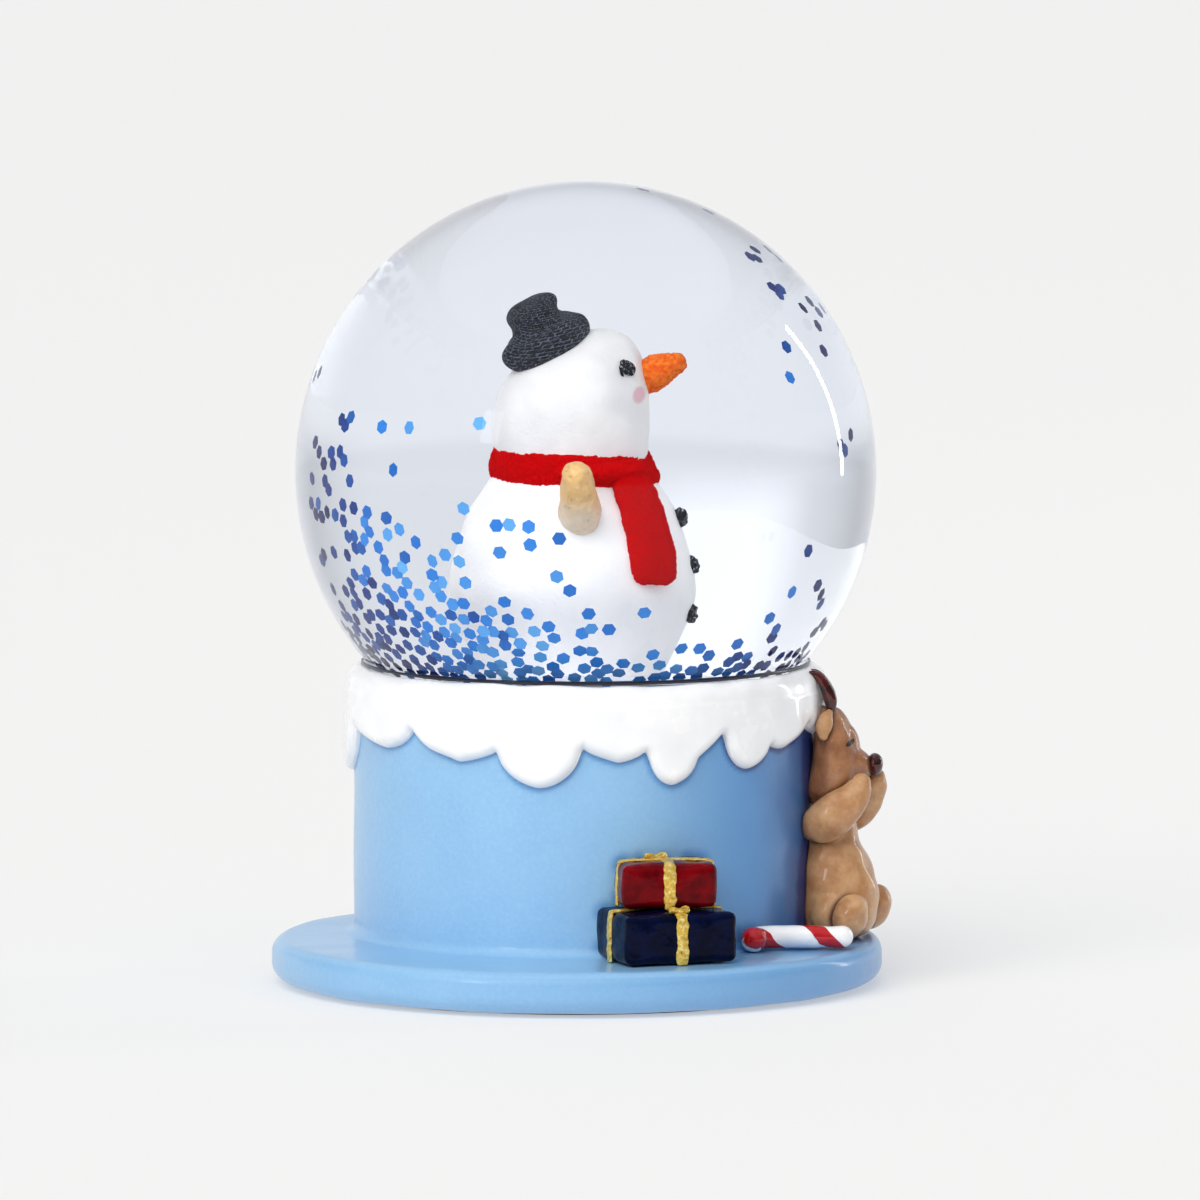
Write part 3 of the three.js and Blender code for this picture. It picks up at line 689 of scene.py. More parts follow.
def white_satin(name, shade, light, painted_glow, cheeks=()):
    """White satin with a faint glow of its own, painted light that brightens it, and a pink dab at each
    cheek.
    """
    paint = Paint(name)
    grain = paint.noise(0.3, 3, 0.6)
    broad = paint.noise(2.2, 2)
    colour = paint.blend(paint.between(broad, 0.3, 0.7), shade, light)
    for cheek in cheeks:
        colour = paint.blend(paint.spot(cheek, (0.37, 1.6, 0.5), 0.3, 0.4) * 0.75, colour, "#dd9aa8")
    return paint.finish(
        Base_Color=colour,
        Roughness=0.42 + grain * 0.1,
        # Painted light: a faint glow, though the satin is no lamp.
        Emission_Color="#fbfcff",
        Emission_Strength=painted_glow,
        Normal=paint.bump(grain + broad, 0.05),
    )


def snowman_satin():
    return white_satin("snowman_satin", "#f4f4f5", "#fcfbfa", SNOWMAN_PAINTED_GLOW)


def snowman_face():
    """The head's satin, a touch greyer than the body's, with half the body's painted glow."""
    cheeks = [SNOWMAN + (4.04, side * 2.1, 4.8) for side in (-1, 1)]
    return white_satin("snowman_face", "#e7e7e8", "#f2f1f0", SNOWMAN_PAINTED_GLOW / 2, cheeks)


# Millimetres along the cane for one turn of its stripe, and where the first turn starts.
CANE_PITCH, CANE_START = 4.83, 0.5


def cane_enamel():
    """White enamel with a red stripe wound round by hand."""
    paint = Paint("cane_enamel")
    around, along = paint.axis(paint.uv(), "X"), paint.axis(paint.place(), "X")
    low, high = corners("candy_cane")
    wave = (high[0] - along) / CANE_PITCH - around + CANE_START + (paint.noise(1.2, 1) - 0.5) * 0.15
    phase = wave.math("FRACT")
    stripe = paint.between(phase, 0.66, 0.675) * (1 - paint.between(phase, 0.985, 1.0))
    tip = (low[0] + 0.95, low[1] + 0.6, (low[2] + high[2]) / 2)
    stripe = stripe.math("MAXIMUM", paint.spot(tip, (0.95, 1.6, 0.72), 0.05, 0.15))
    red = paint.blend(paint.noise(0.6), "#a30a14", "#cf141f")
    colour = paint.blend(stripe, "#f7f7f9", red)
    return paint.finish(
        Base_Color=colour,
        Roughness=0.16,
        Coat_Weight=0.6,
        Coat_Roughness=0.05,
        Normal=paint.bump(stripe * 0.6 + paint.noise(0.5), 0.07),
    )


def flake_foil():
    """Blue metal foil; each flake has its own shade of blue, darkened toward the globe's edge as painted
    shade.
    """
    paint = Paint("glitter_foil")
    # The 'shade' number is each flake's own tone with painted shade toward the globe's edge.
    shade = paint.attribute("shade")
    stops = [(0.0, "#0b1a5e"), (0.3, "#164394"), (0.6, "#2b80dc"), (1.0, "#6cb8f8")]
    colour = paint.node("ShaderNodeValToRGB", {"stops": stops}, {0: shade})
    return paint.finish(Base_Color=colour, Roughness=0.4, Specular_IOR_Level=0.25)


def pad_foam():
    """Dark closed-cell foam."""
    paint = Paint("pad_foam")
    cell = paint.cells(0.3)
    colour = paint.blend(cell, "#16181c", "#30343c")
    return paint.finish(Base_Color=colour, Roughness=0.9, Normal=paint.bump(cell, 0.08))


# ---------------------------------------------------------------- base


# Radii of the plinth's and the drum's rounded edges, the pad's recess and the seat for the globe's neck.
PLINTH_UNDER_EDGE, PLINTH_UPPER_EDGE = 1.35, 1.05
DRUM_FILLET, DRUM_LIP = 0.9, 0.4
PAD_RECESS = 0.55
SEAT_RADIUS, SEAT_FLOOR = 15.3, 10.0


def plinth_profile():
    edge, under, upper = PLINTH_RADIUS - 0.05, PLINTH_UNDER_EDGE, PLINTH_UPPER_EDGE
    recess, ceiling = edge - 2.9, PLINTH_BOTTOM + PAD_RECESS
    return np.vstack(
        [
            [[0, ceiling], [recess, ceiling], [recess + 0.1, PLINTH_BOTTOM]],
            arc(edge - under, PLINTH_BOTTOM + under, under, -90, 0, 10),
            arc(edge - upper, PLINTH_TOP - upper, upper, 0, 90, 10),
            [[edge * share, PLINTH_TOP] for share in (0.9, 0.8, 0.7, 0.6, 0.3, 0.0)],
        ]
    )


def drum_profile():
    """From inside the plinth up the wall, over the lip and down into the seat."""
    root = PLINTH_TOP - 2.0
    return np.vstack(
        [
            [[0, root], [DRUM_RADIUS + DRUM_FILLET, root]],
            arc(DRUM_RADIUS + DRUM_FILLET, PLINTH_TOP + DRUM_FILLET - 0.02, DRUM_FILLET, 270, 180, 10),
            [[DRUM_RADIUS, z] for z in np.linspace(PLINTH_TOP + 1.2, DRUM_TOP - 0.5, 62)],
            arc(DRUM_RADIUS - DRUM_LIP, DRUM_TOP - DRUM_LIP, DRUM_LIP, 0, 90, 4),
            [[SEAT_RADIUS + 0.1, DRUM_TOP], [SEAT_RADIUS, SEAT_FLOOR], [0, SEAT_FLOOR]],
        ]
    )


def plinth_and_drum():
    """The base casting; the drum stands off the plinth's centre."""
    plinth = turned(plinth_profile(), 240) + [PLINTH_CENTRE[0], PLINTH_CENTRE[1], 0]
    drum = turned(drum_profile(), 440)
    mesh = joined_mesh("plinth_and_drum", mesh_of("plinth", plinth), mesh_of("drum", drum))
    return uneven(mesh, 0.07, 4.0)


# Azimuth, height and how square the run to the next point is: 0 is a straight run, 1 a full U.
DRIPS = [
    (-178, 16.0, 0.9), (-164, 20.2, 0.8), (-147, 18.75, 0.8), (-136.5, 20.6, 0.6), (-122, 18.25, 0.5),
    (-111.5, 19.4, 0.9), (-101.5, 16.45, 0.9), (-91, 19.9, 0.6), (-82, 18.45, 0.6), (-75, 19.55, 0.9),
    (-68.5, 16.6, 0.8), (-62.5, 18.5, 0.2), (-54.5, 20.6, 0.9), (-47, 17.5, 0.9), (-39.5, 19.3, 0.7),
    (-34, 18.7, 0.5), (-22, 20.4, 0.7), (-8, 18.9, 0.8), (4, 20.2, 0.9), (16, 16.8, 0.9), (29, 20.1, 0.7),
    (40, 18.2, 0.7), (50, 20.3, 0.9), (62, 17.2, 0.9), (73, 19.5, 0.7), (84, 18.4, 0.7), (94, 20.2, 0.9),
    (106, 16.4, 0.9), (118, 19.9, 0.7), (130, 18.0, 0.7), (140, 20.3, 0.9), (153, 17.3, 0.9),
    (168, 19.8, 0.9), (182, 16.0, 0.9),
]


def collar_edge(samples):
    """Height of the snow's lower edge at even steps round the drum: broad drips, tight notches."""
    azimuth = np.linspace(-178, 182, samples, endpoint=False)
    height = np.empty(samples)
    for (a, za, full), (b, zb, _) in zip(DRIPS, DRIPS[1:]):
        inside = (azimuth >= a) & (azimuth < b)
        t = (azimuth[inside] - a) / (b - a)
        rise = t if za < zb else 1 - t
        shaped = 1 - np.sqrt(1 - np.clip(rise, 0, 0.995) ** 2.1)
        height[inside] = min(za, zb) + abs(zb - za) * (full * shaped + (1 - full) * rise)
    kernel = np.hanning(7)
    padded = np.concatenate([height[-8:], height, height[:8]])
    return np.radians(azimuth), np.convolve(padded, kernel / kernel.sum(), "same")[8:-8]


def drip_tree(samples=900):
    """A search tree over the drips' outline, unrolled flat, with the outline itself."""
    angle, low = collar_edge(samples)
    outline = np.stack([angle * COLLAR_RADIUS, low], 1)
    wide = np.vstack([outline - [TURN * COLLAR_RADIUS, 0], outline, outline + [TURN * COLLAR_RADIUS, 0]])
    return tree_of([(x, z, 0) for x, z in wide]), (angle, low)


# The snow leaves the wall at its shoulder and rolls over its crest, by radius and height, to the glass.
SNOW_SHOULDER = 22.6
SNOW_CREST = [[18.45, 23.55], [17.95, 24.1], [17.45, 24.3], [17.05, 24.05], [16.75, 23.5]]
SNOW_BORE = (23.3, 22.8, 22.3)
DRIP_SWELL = 1.0


def snow_collar():
    """The snow ring: drips that swell from a thin edge, a rolled crest and a bore that fits the globe."""
    tree, (angle, low) = drip_tree()
    skin_radius = DRUM_RADIUS - 0.1
    relief = COLLAR_RADIUS - skin_radius
    rings = []

    def add_ring(radius, height):
        height = np.broadcast_to(height, angle.shape)
        rings.append(np.stack([radius * np.cos(angle), radius * np.sin(angle), height], 1))

    for t in np.linspace(0, 1, 34):
        height = low + (SNOW_SHOULDER - low) * t**1.4
        near = np.array([tree.find((x, z, 0))[2] for x, z in zip(angle * COLLAR_RADIUS, height)])
        share = np.clip(near / DRIP_SWELL, 0, 1)
        add_ring(skin_radius + relief * np.sqrt(1 - (1 - share) ** 2) * (1 - 0.10 * share * t), height)
    crest = spline([[COLLAR_RADIUS - 0.15, SNOW_SHOULDER], *SNOW_CREST], 5)[1:]
    bore = [[math.sqrt((GLOBE_RADIUS + 0.06) ** 2 - (GLOBE_Z - z) ** 2), z] for z in (*SNOW_BORE, DRUM_TOP)]
    inner = [[SEAT_RADIUS + 0.3, DRUM_TOP - 0.1], [skin_radius - 0.3, DRUM_TOP - 0.2]]
    for radius, height in [*crest, *bore, *inner]:
        add_ring(radius, height)
    add_ring(skin_radius - 0.35, low + 0.4)
    return uneven(mesh_of("snow_collar_skin", np.array(rings), looped=True), 0.14, 2.6)


# ---------------------------------------------------------------- globe


# Above this height the glass is ball, and below it neck.
NECK_TOP = 22.6
NECK_EDGE = 0.3


def lowest_angle(radius, reach):
    """Degrees below level at which a ball of this radius has narrowed to this reach."""
    return -math.degrees(math.acos(reach / radius))


def glass_ball():
    """One closed shell: down the inside of the ball and neck, and up the outside."""
    inner_neck = NECK_RADIUS - (GLOBE_RADIUS - WATER_RADIUS)
    profile = np.vstack(
        [
            arc(0, GLOBE_Z, WATER_RADIUS, 90, lowest_angle(WATER_RADIUS, inner_neck), 110),
            [[inner_neck, NECK_BOTTOM + NECK_EDGE], [inner_neck + NECK_EDGE, NECK_BOTTOM]],
            [[NECK_RADIUS - NECK_EDGE, NECK_BOTTOM], [NECK_RADIUS, NECK_BOTTOM + NECK_EDGE]],
            arc(0, GLOBE_Z, GLOBE_RADIUS, lowest_angle(GLOBE_RADIUS, NECK_RADIUS), 90, 110),
        ]
    )
    return mesh_of("glass_ball", turned(profile, 192))


def split_wall(piece):
    """Gives the faces of the glass that touch the water the second material."""
    for face in piece.data.polygons:
        x, y, z = face.center / MM
        across = math.hypot(x, y)
        in_ball = math.hypot(across, z - GLOBE_Z) < WATER_RADIUS + 0.2
        face.material_index = int(in_ball if z > NECK_TOP else across < NECK_RADIUS - 1.2)


def water_body():
    """The water above the figure's plate, just clear of the glass."""
    radius = WATER_RADIUS - 0.02
    low = NECK_TOP - 0.1
    inner_neck = 12.75
    reach, _, floor = corners("figure_plate")[1]
    profile = np.vstack(
        [
            [[0, floor + 0.02], [reach + 0.1, floor + 0.02], [reach + 0.1, low], [inner_neck, low]],
            arc(0, GLOBE_Z, radius, lowest_angle(radius, inner_neck), 90, 96),
        ]
    )
    return mesh_of("water_body", turned(profile, 160))


def snow_ground():
    """The white plate that the snowman stands on, slightly domed."""
    low, high = corners("figure_plate")
    radius, bottom, top = high[0], low[2], high[2]
    edge = [[radius - 0.3, bottom], [radius, bottom + 0.3], [radius - 0.2, top - 0.25], [radius - 1.2, top]]
    crown = [[6.0, top + 0.25], [2.0, top + 0.3], [0.0, top + 0.3]]
    return uneven(mesh_of("snow_ground", turned(spline([*edge, *crown], 6), 120)), 0.25, 2.2)


# ---------------------------------------------------------------- snowman


# Height, centre along X, half-length and half-width, from the snowman's origin.
BODY = [
    [-13.3, 0, 4.2, 4.2], [-12.6, 0, 4.8, 4.8], [-11.2, 0, 5.55, 5.5], [-9.3, 0, 6.5, 6.4],
    [-7.6, 0, 7.05, 6.9], [-6.2, 0, 7.1, 6.9], [-4.5, 0, 6.8, 6.6], [-2.8, 0, 6.2, 6.0],
    [-1.5, 0, 5.5, 5.3], [-0.4, 0, 4.8, 4.7], [0.8, 0, 3.6, 3.6],
]
HEAD = [
    [-1.2, 0, 3.4, 3.4], [-0.5, 0, 4.1, 4.0], [0.5, 0, 4.4, 4.3], [2.0, -0.06, 4.6, 4.4],
    [3.8, -0.02, 4.52, 4.35], [5.2, 0.25, 4.2, 4.1], [6.5, 0.6, 3.6, 3.6], [7.5, 1.0, 2.65, 2.7],
    [8.15, 1.3, 1.5, 1.5], [8.42, 1.4, 0.3, 0.3],
]
# Height and reach along X of each coal button, from the top.
BUTTONS = [(-2.7, 6.3), (-5.5, 6.95), (-8.3, 6.85)]


def snowman_pieces(paints):
    white, face, flock, weave, carrot, coal, twig = paints
    torso = uneven(mesh_of("torso", stack(BODY, 96) + SNOWMAN), 0.16, 2.4)
    head = uneven(mesh_of("head", stack(HEAD, 96) + SNOWMAN), 0.14, 2.0)
    place_piece("snowman_torso", torso, white, ["snowman_body"])
    place_piece("snowman_face", head, face, ["snowman_head"])
    place_piece("scarf_wrap", scarf_wrap(), flock, ["snowman_scarf"])
    place_piece("scarf_end", scarf_end(), flock, ["scarf_tail"])
    place_piece("top_hat", top_hat(), weave, ["snowman_hat"])
    place_piece("carrot", carrot_skin(), carrot, ["carrot_nose"])
    for hand, side in (("right", -1), ("left", 1)):
        place_piece(f"eye_{hand}", painted_eye(side), coal, [f"snowman_eye_{hand}"])
        place_piece(f"twig_{hand}", twig_arm(side), twig, [f"snowman_arm_{hand}"])
    for k, (height, reach) in enumerate(BUTTONS, 1):
        lump = uneven(mesh_of("button", ball(0.45, 0.6, 0.58, SNOWMAN + (reach, 0, height))), 0.2, 0.32)
        place_piece(f"coal_button_{k}", lump, coal, [f"snowman_button_{k}"])


FLOCK_DEPTH, FLOCK_SIZE = 0.09, 0.18
SCARF_RADIUS, LAP_RADIUS = 4.28, 4.42


def soft_cloth(mesh):
    """The mesh run into one soft skin, fine enough to carry the flock."""
    settings = {"mode": "VOXEL", "voxel_size": 0.1}
    return evaluated(mesh, ("REMESH", settings), ("SMOOTH", {"factor": 0.5, "iterations": 3}))


def rounded(wave):
    """A cosine or sine pushed outwards, so that a section of them is a soft square."""
    return math.copysign(abs(wave) ** 0.7, wave)


def scarf_wrap():
    """The band round the neck, and the lap of the scarf's end over it."""
    angle = np.linspace(0, TURN, 180, endpoint=False)
    forward = np.clip(np.cos(angle), 0, 1)
    rings = []
    for a in np.linspace(0, TURN, 28, endpoint=False):
        across, up = rounded(math.cos(a)), rounded(math.sin(a))
        radius = SCARF_RADIUS + 0.52 * across + 0.04 * np.sin(3 * angle) - (0.1 + 0.42 * forward) * up
        height = 0.42 + (1.04 + 0.08 * forward) * up + 0.05 * np.sin(angle * 2 + 0.7)
        rings.append(np.stack([radius * np.cos(angle), radius * np.sin(angle), height], 1))
    band = mesh_of("band", np.array(rings).transpose(1, 0, 2) + SNOWMAN, looped=True)
    rows = []
    for a in np.radians(np.linspace(-96, -34, 12)):
        x, y = LAP_RADIUS * math.cos(a), LAP_RADIUS * math.sin(a)
        rows.append([x, y, 0.36 + 0.1 * math.sin(a), 1.12, 0.62])
    lap = mesh_of("lap", limb(np.array(rows), 24, 3, (0, 0, 1)) + SNOWMAN)
    scarf = soft_cloth(joined_mesh("scarf", band, lap))
    return uneven(uneven(scarf, 0.08, 0.8), FLOCK_DEPTH, FLOCK_SIZE)


# The scarf's hanging end: reach from the figure's axis, height and half-width, and where round it hangs.
SCARF_END = [
    [4.3, 0.9, 1.25], [5.3, -0.6, 1.55], [6.2, -2.4, 1.7], [6.85, -4.2, 1.8], [7.15, -5.5, 1.8],
    [7.2, -6.3, 1.6], [7.2, -6.65, 0.9],
]
SCARF_END_AZIMUTH = math.radians(-44)


def scarf_end():
    """The flat end of the scarf, hanging down the belly."""
    rows = spline(SCARF_END, 6)
    out = np.array([math.cos(SCARF_END_AZIMUTH), math.sin(SCARF_END_AZIMUTH), 0])
    across = np.array([-out[1], out[0], 0])
    angle = np.linspace(0, TURN, 36, endpoint=False)
    flat = np.sign(np.cos(angle)) * np.abs(np.cos(angle)) ** 0.6
    deep = np.sign(np.sin(angle)) * np.abs(np.sin(angle)) ** 0.8
    rings = []
    for reach, height, half in rows:
        depth = (reach + 0.62 * deep - 0.22 * flat**2)[:, None]
        rings.append(np.array([0, 0, height]) + out * depth + across * (half * flat)[:, None])
    mesh = soft_cloth(mesh_of("scarf_end", np.array(rings) + SNOWMAN))
    return uneven(uneven(mesh, 0.1, 0.9), FLOCK_DEPTH, FLOCK_SIZE)


# The hat from the underside of its rolled brim to its crown, and how it sits on the head.
HAT = [
    [0, -0.75], [1.5, -0.85], [2.2, -0.8], [2.62, -0.5], [2.78, 0.0], [2.68, 0.5], [2.3, 0.85], [1.95, 1.0],
    [1.66, 1.3], [1.58, 1.65], [1.66, 2.05], [1.62, 2.38], [1.3, 2.66], [0.6, 2.8], [0.0, 2.82],
]
HAT_SEAT, HAT_TILT = [-1.5, 0, 7.72], -26


def top_hat():
    rings = bent(turned(spline(HAT, 6), 96), "Y", HAT_TILT) + HAT_SEAT
    return uneven(mesh_of("top_hat", rings + SNOWMAN), 0.22, 1.5, 3.0)


CARROT = [
    [3.9, 0, 5.35, 1.0, 1.0], [4.71, 0, 5.76, 1.02, 1.02], [5.35, 0, 6.06, 0.94, 0.94],
    [5.85, 0, 6.3, 0.8, 0.8], [6.15, 0, 6.42, 0.62, 0.62],
]


def carrot_skin():
    mesh = mesh_of("carrot", limb(CARROT) + SNOWMAN)
    mesh = evaluated(mesh, ("SUBSURF", {"levels": 1, "render_levels": 1}))
    return uneven(uneven(mesh, 0.1, 0.8), 0.07, 0.16)


EYELASH = [
    [-0.42, 0, 0.3, 0.13, 0.1], [-0.6, 0, 0.05, 0.11, 0.1], [-0.62, 0, -0.3, 0.08, 0.08],
    [-0.56, 0, -0.5, 0.05, 0.05],
]


def painted_eye(side):
    """An oval dab of black with one lash curling down behind it."""
    dab = bent(ball(0.66, 0.13, 0.52, (0, 0, 0), 36), "Y", 32)
    lash = limb(EYELASH, 12, 4, (0, 1, 0.01))
    place = SNOWMAN + [3.36, side * 2.42, 6.55]
    shapes = [bent(bent(s, "X", side * 24), "Z", side * -46) + place for s in (dab, lash)]
    return uneven(melted("eye", *shapes, voxel=0.06, smooth=3), 0.07, 0.3)


def twig_arm(side):
    """A stubby branch that points out and up, swollen below a crease."""
    branch = [
        [0.45, side * 4.9, -2.45, 1.5, 1.35], [0.42, side * 6.0, -1.95, 1.5, 1.35],
        [0.38, side * 6.9, -1.15, 1.32, 1.2],
    ]
    tip = [
        [0.35, side * 6.6, -1.35, 1.18, 1.1], [0.3, side * 7.3, -0.45, 1.22, 1.1],
        [0.25, side * 7.8, 0.4, 1.05, 0.95],
    ]
    lengths = [limb(rows, 32, 6, (1, 0, 0)) + SNOWMAN for rows in (branch, tip)]
    mesh = melted("twig", *lengths, voxel=0.12, smooth=6)
    return uneven(uneven(mesh, 0.13, 1.0), 0.04, 0.3)


# ---------------------------------------------------------------- reindeer


def reindeer_frame():
    """Origin and heading of the reindeer, from where its two feet were packed."""
    right, left = middle("reindeer_foot_right"), middle("reindeer_foot_left")
    side = (left - right)[:2] / np.linalg.norm((left - right)[:2])
    heading = math.atan2(-side[0], side[1])
    facing = np.array([math.cos(heading), math.sin(heading)])
    origin = (right + left)[:2] / 2 - facing * 2.0
    return np.array([*origin, PLINTH_TOP]), math.degrees(heading)


REINDEER, HEADING = reindeer_frame()


# Height, centre along X, half-length and half-width, from the reindeer's origin on the plinth.
TORSO = [
    [-0.2, 0, 1.2, 1.4], [0.3, 0, 2.3, 2.4], [1.2, 0, 2.95, 2.95], [2.6, 0.1, 3.15, 3.0],
    [4.0, 0.05, 3.1, 2.95], [5.5, -0.1, 2.8, 2.75], [6.7, -0.2, 2.3, 2.4], [7.6, -0.35, 2.0, 2.1],
    [8.8, -0.5, 2.0, 2.1], [10.0, -0.6, 1.8, 1.8],
]
SKULL = [
    [10.3, -0.6, 1.4, 1.5], [11.4, -0.4, 2.05, 2.1], [12.6, -0.25, 2.05, 2.35], [13.5, -0.15, 1.9, 2.4],
    [14.4, -0.15, 1.75, 2.3], [15.4, -0.25, 1.6, 2.1], [16.4, -0.4, 1.38, 1.8], [17.2, -0.5, 1.1, 1.4],
    [17.7, -0.52, 0.7, 0.9], [17.92, -0.52, 0.15, 0.2],
]
# Limbs of the left side: [x, y, z, radius across, radius in depth]; the right side mirrors y.
ARM = [
    [-1.35, 2.2, 8.6, 1.05, 0.95], [-0.8, 2.65, 8.9, 1.5, 1.15], [0.1, 2.9, 9.4, 1.66, 1.2],
    [1.0, 2.85, 10.1, 1.66, 1.15], [1.9, 2.45, 11.05, 1.32, 1.0], [2.4, 2.1, 11.9, 0.98, 0.85],
    [2.55, 2.0, 12.3, 0.7, 0.65],
]
EAR = [
    [-0.7, 1.3, 17.5, 0.35, 0.35], [-0.95, 1.8, 17.1, 0.55, 0.45], [-1.1, 2.15, 16.4, 0.62, 0.45],
    [-1.12, 2.3, 15.8, 0.36, 0.32],
]
# A leaf-shaped blade that leans back and hooks over the snow.
ANTLER = [
    [-0.45, 0.75, 17.2, 0.26, 0.3], [-0.5, 0.75, 17.9, 0.42, 0.4], [-0.6, 0.75, 18.6, 0.52, 0.44],
    [-0.82, 0.75, 19.3, 0.5, 0.42], [-1.15, 0.75, 19.9, 0.42, 0.38], [-1.6, 0.75, 20.32, 0.32, 0.3],
    [-2.05, 0.75, 20.5, 0.2, 0.22],
]


def reindeer_meshes():
    """Body, arms and feet turn to the front; the head looks straight out to the side."""

    def own(name, *shapes, voxel=0.13, smooth=8, turn=HEADING):
        placed = [bent(np.asarray(rings, float), "Z", turn) + REINDEER for rings in shapes]
        return melted(name, *placed, voxel=voxel, smooth=smooth)

    haunches = [ball(1.75, 1.45, 1.95, (0.2, side * 2.15, 2.0)) for side in (-1, 1)]
    muzzle = bent(ball(1.8, 1.5, 1.45), "Y", 30) + [1.0, 0, 13.4]
    brow = ball(1.15, 1.4, 1.7, (0.6, 0, 14.8))
    jaw = ball(1.7, 1.8, 1.3, (0.6, 0, 12.4))
    nose = ball(0.62, 0.82, 0.88, (2.9, 0, 13.37))
    meshes = {
        "reindeer_body": own("torso", stack(TORSO, 56, 5), *haunches),
        "reindeer_head": own("head", stack(SKULL, 56, 5), muzzle, brow, jaw, smooth=14, turn=0),
        "reindeer_nose": own("nose", nose, voxel=0.08, smooth=3, turn=0),
    }
    for hand, side in (("right", -1), ("left", 1)):
        mirror = [1, side, 1, 1, 1]
        foot = bent(ball(1.35, 1.45, 1.85), "Y", 20) + [2.0, side * 3.35, 2.0]
        ear, antler = limb(EAR * np.array(mirror)), limb(ANTLER * np.array(mirror), 24, 5)
        meshes[f"reindeer_arm_{hand}"] = own("arm", limb(ARM * np.array(mirror)))
        meshes[f"reindeer_foot_{hand}"] = own("foot", foot)
        meshes[f"reindeer_ear_{hand}"] = own("ear", ear, voxel=0.09, smooth=4, turn=0)
        meshes[f"reindeer_antler_{hand}"] = own("antler", antler, voxel=0.08, smooth=3, turn=0)
    return meshes


CREASE_REACH = 0.7
EAR_WASH = 0.42


def mark_creases(meshes):
    """Gives each skin a 'crease' attribute of painted shade that rises where another skin or the drum's wall
    is close.
    """
    for name, mesh in meshes.items():
        others = np.vstack([points_of(m) for n, m in meshes.items() if n != name and "antler" not in n])
        tree = tree_of(others)
        points = points_of(mesh)
        near = np.array([tree.find(p)[2] for p in points])
        # The ears carry an even darker tone of their own on top of their crease shade, and the rest takes
        # painted shade within a hair of the wall.
        wall = EAR_WASH if "ear" in name else np.abs(np.hypot(points[:, 0], points[:, 1]) - DRUM_RADIUS) / 0.3
        crease = np.clip(1 - np.minimum(near, wall) / CREASE_REACH, 0, 1) ** 1.5
        mark_points(mesh, "crease", crease)


def reindeer_pieces(fur, face, dark):
    meshes = reindeer_meshes()
    mark_creases(meshes)
    for name, mesh in meshes.items():
        glossy = "antler" in name or "nose" in name
        paint = dark if glossy else face if name == "reindeer_head" else fur
        place_piece(name.replace("reindeer", "deer"), uneven(mesh, 0.12, 1.4), paint, [name])


# ---------------------------------------------------------------- gifts and cane


def puffy_box(size, radius, bulge, cells=22):
    """A box with rounded edges and slightly swollen sides, from its lowest corner."""
    size = np.array(size, float)
    mesh = bpy.data.meshes.new("box")
    work = bmesh.new()
    bmesh.ops.create_cube(work, size=2.0)
    bmesh.ops.subdivide_edges(work, edges=work.edges, cuts=cells, use_grid_fill=True)
    work.to_mesh(mesh)
    work.free()
    unit = points_of(mesh)
    half = size / 2
    inner = np.clip(unit * half, -(half - radius), half - radius)
    out = unit * half - inner
    length = np.linalg.norm(out, axis=1)[:, None]
    point = inner + np.where(length > 0, out / np.maximum(length, 1e-9), 0) * radius
    crown = np.prod(np.sort(1 - unit**2, axis=1)[:, 1:], axis=1)[:, None]
    main = np.eye(3)[np.argmax(np.abs(unit), axis=1)] * np.sign(unit)
    set_points(mesh, point + main * crown * bulge + half)
    return mesh


def moved_mesh(mesh, turn, corner):
    mesh.transform(Matrix.Rotation(math.radians(turn), 4, "Z"))
    mesh.transform(Matrix.Translation(corner))
    return mesh


def ribbon_path(size, alongx, bulge):
    """Points up one side, over the top and down the other, in the middle of the box."""
    width, depth, height = size
    run, still = (width, depth / 2) if alongx else (depth, width / 2)
    lift = bulge * 0.8
    side = [[-lift, 0.0], [-lift - 0.02, height * 0.45], [-0.02, height - 0.35], [0.35, height + 0.02]]
    lid = [[run * 0.3, height + lift], [run * 0.5, height + lift * 1.1], [run * 0.7, height + lift]]
    other_side = [[run - x, z] for x, z in reversed(side)]
    rows = spline([*side, *lid, *other_side], 6)
    still = np.full(len(rows), still)
    return np.stack([rows[:, 0], still, rows[:, 1]] if alongx else [still, rows[:, 0], rows[:, 1]], 1)


def ribbon_mesh(size, bulge, width=0.46, thick=0.13):
    """Two bands of thick paint crossing on the lid, their edges wavering as a brush leaves them."""
    bands = []
    for alongx in (True, False):
        path = ribbon_path(size, alongx, bulge)
        waver = np.array([1 + 0.3 * noise.noise(Vector((p / 0.5 + size[0]).tolist())) for p in path])
        hint = (0, 1, 0) if alongx else (1, 0, 0)
        rows = np.column_stack([path, np.full(len(path), thick), width * waver])
        bands.append(limb(rows, 20, 2, hint))
    return uneven(mesh_of("ribbon", *bands), 0.07, 0.35)


# One loop of a bow, lying along X, before the whole bow is brought to size.
BOW_LOOP = [
    [0.1, 0, 0.05], [0.5, 0.24, 0.26], [0.95, 0.2, 0.34], [1.12, 0, 0.18], [0.9, -0.2, 0.1],
    [0.5, -0.16, 0.05], [0.1, 0, 0.0],
]
BOW_SCALE, BOW_TURN = 0.75, 20


def bow_mesh(at):
    """A knot with a loop to each side, as painted casting."""
    rows = np.column_stack([BOW_LOOP, np.full(len(BOW_LOOP), 0.15), np.full(len(BOW_LOOP), 0.26)])
    loops = [bent(limb(rows, 14, 4, (0, 0, 1)), "Z", angle) for angle in (BOW_TURN, BOW_TURN + 165)]
    mesh = melted("bow", ball(0.36, 0.36, 0.34, (0, 0, 0.1), 20), *loops, voxel=0.07, smooth=2)
    mesh.transform(Matrix.Translation(at) @ Matrix.Scale(BOW_SCALE, 4))
    return mesh


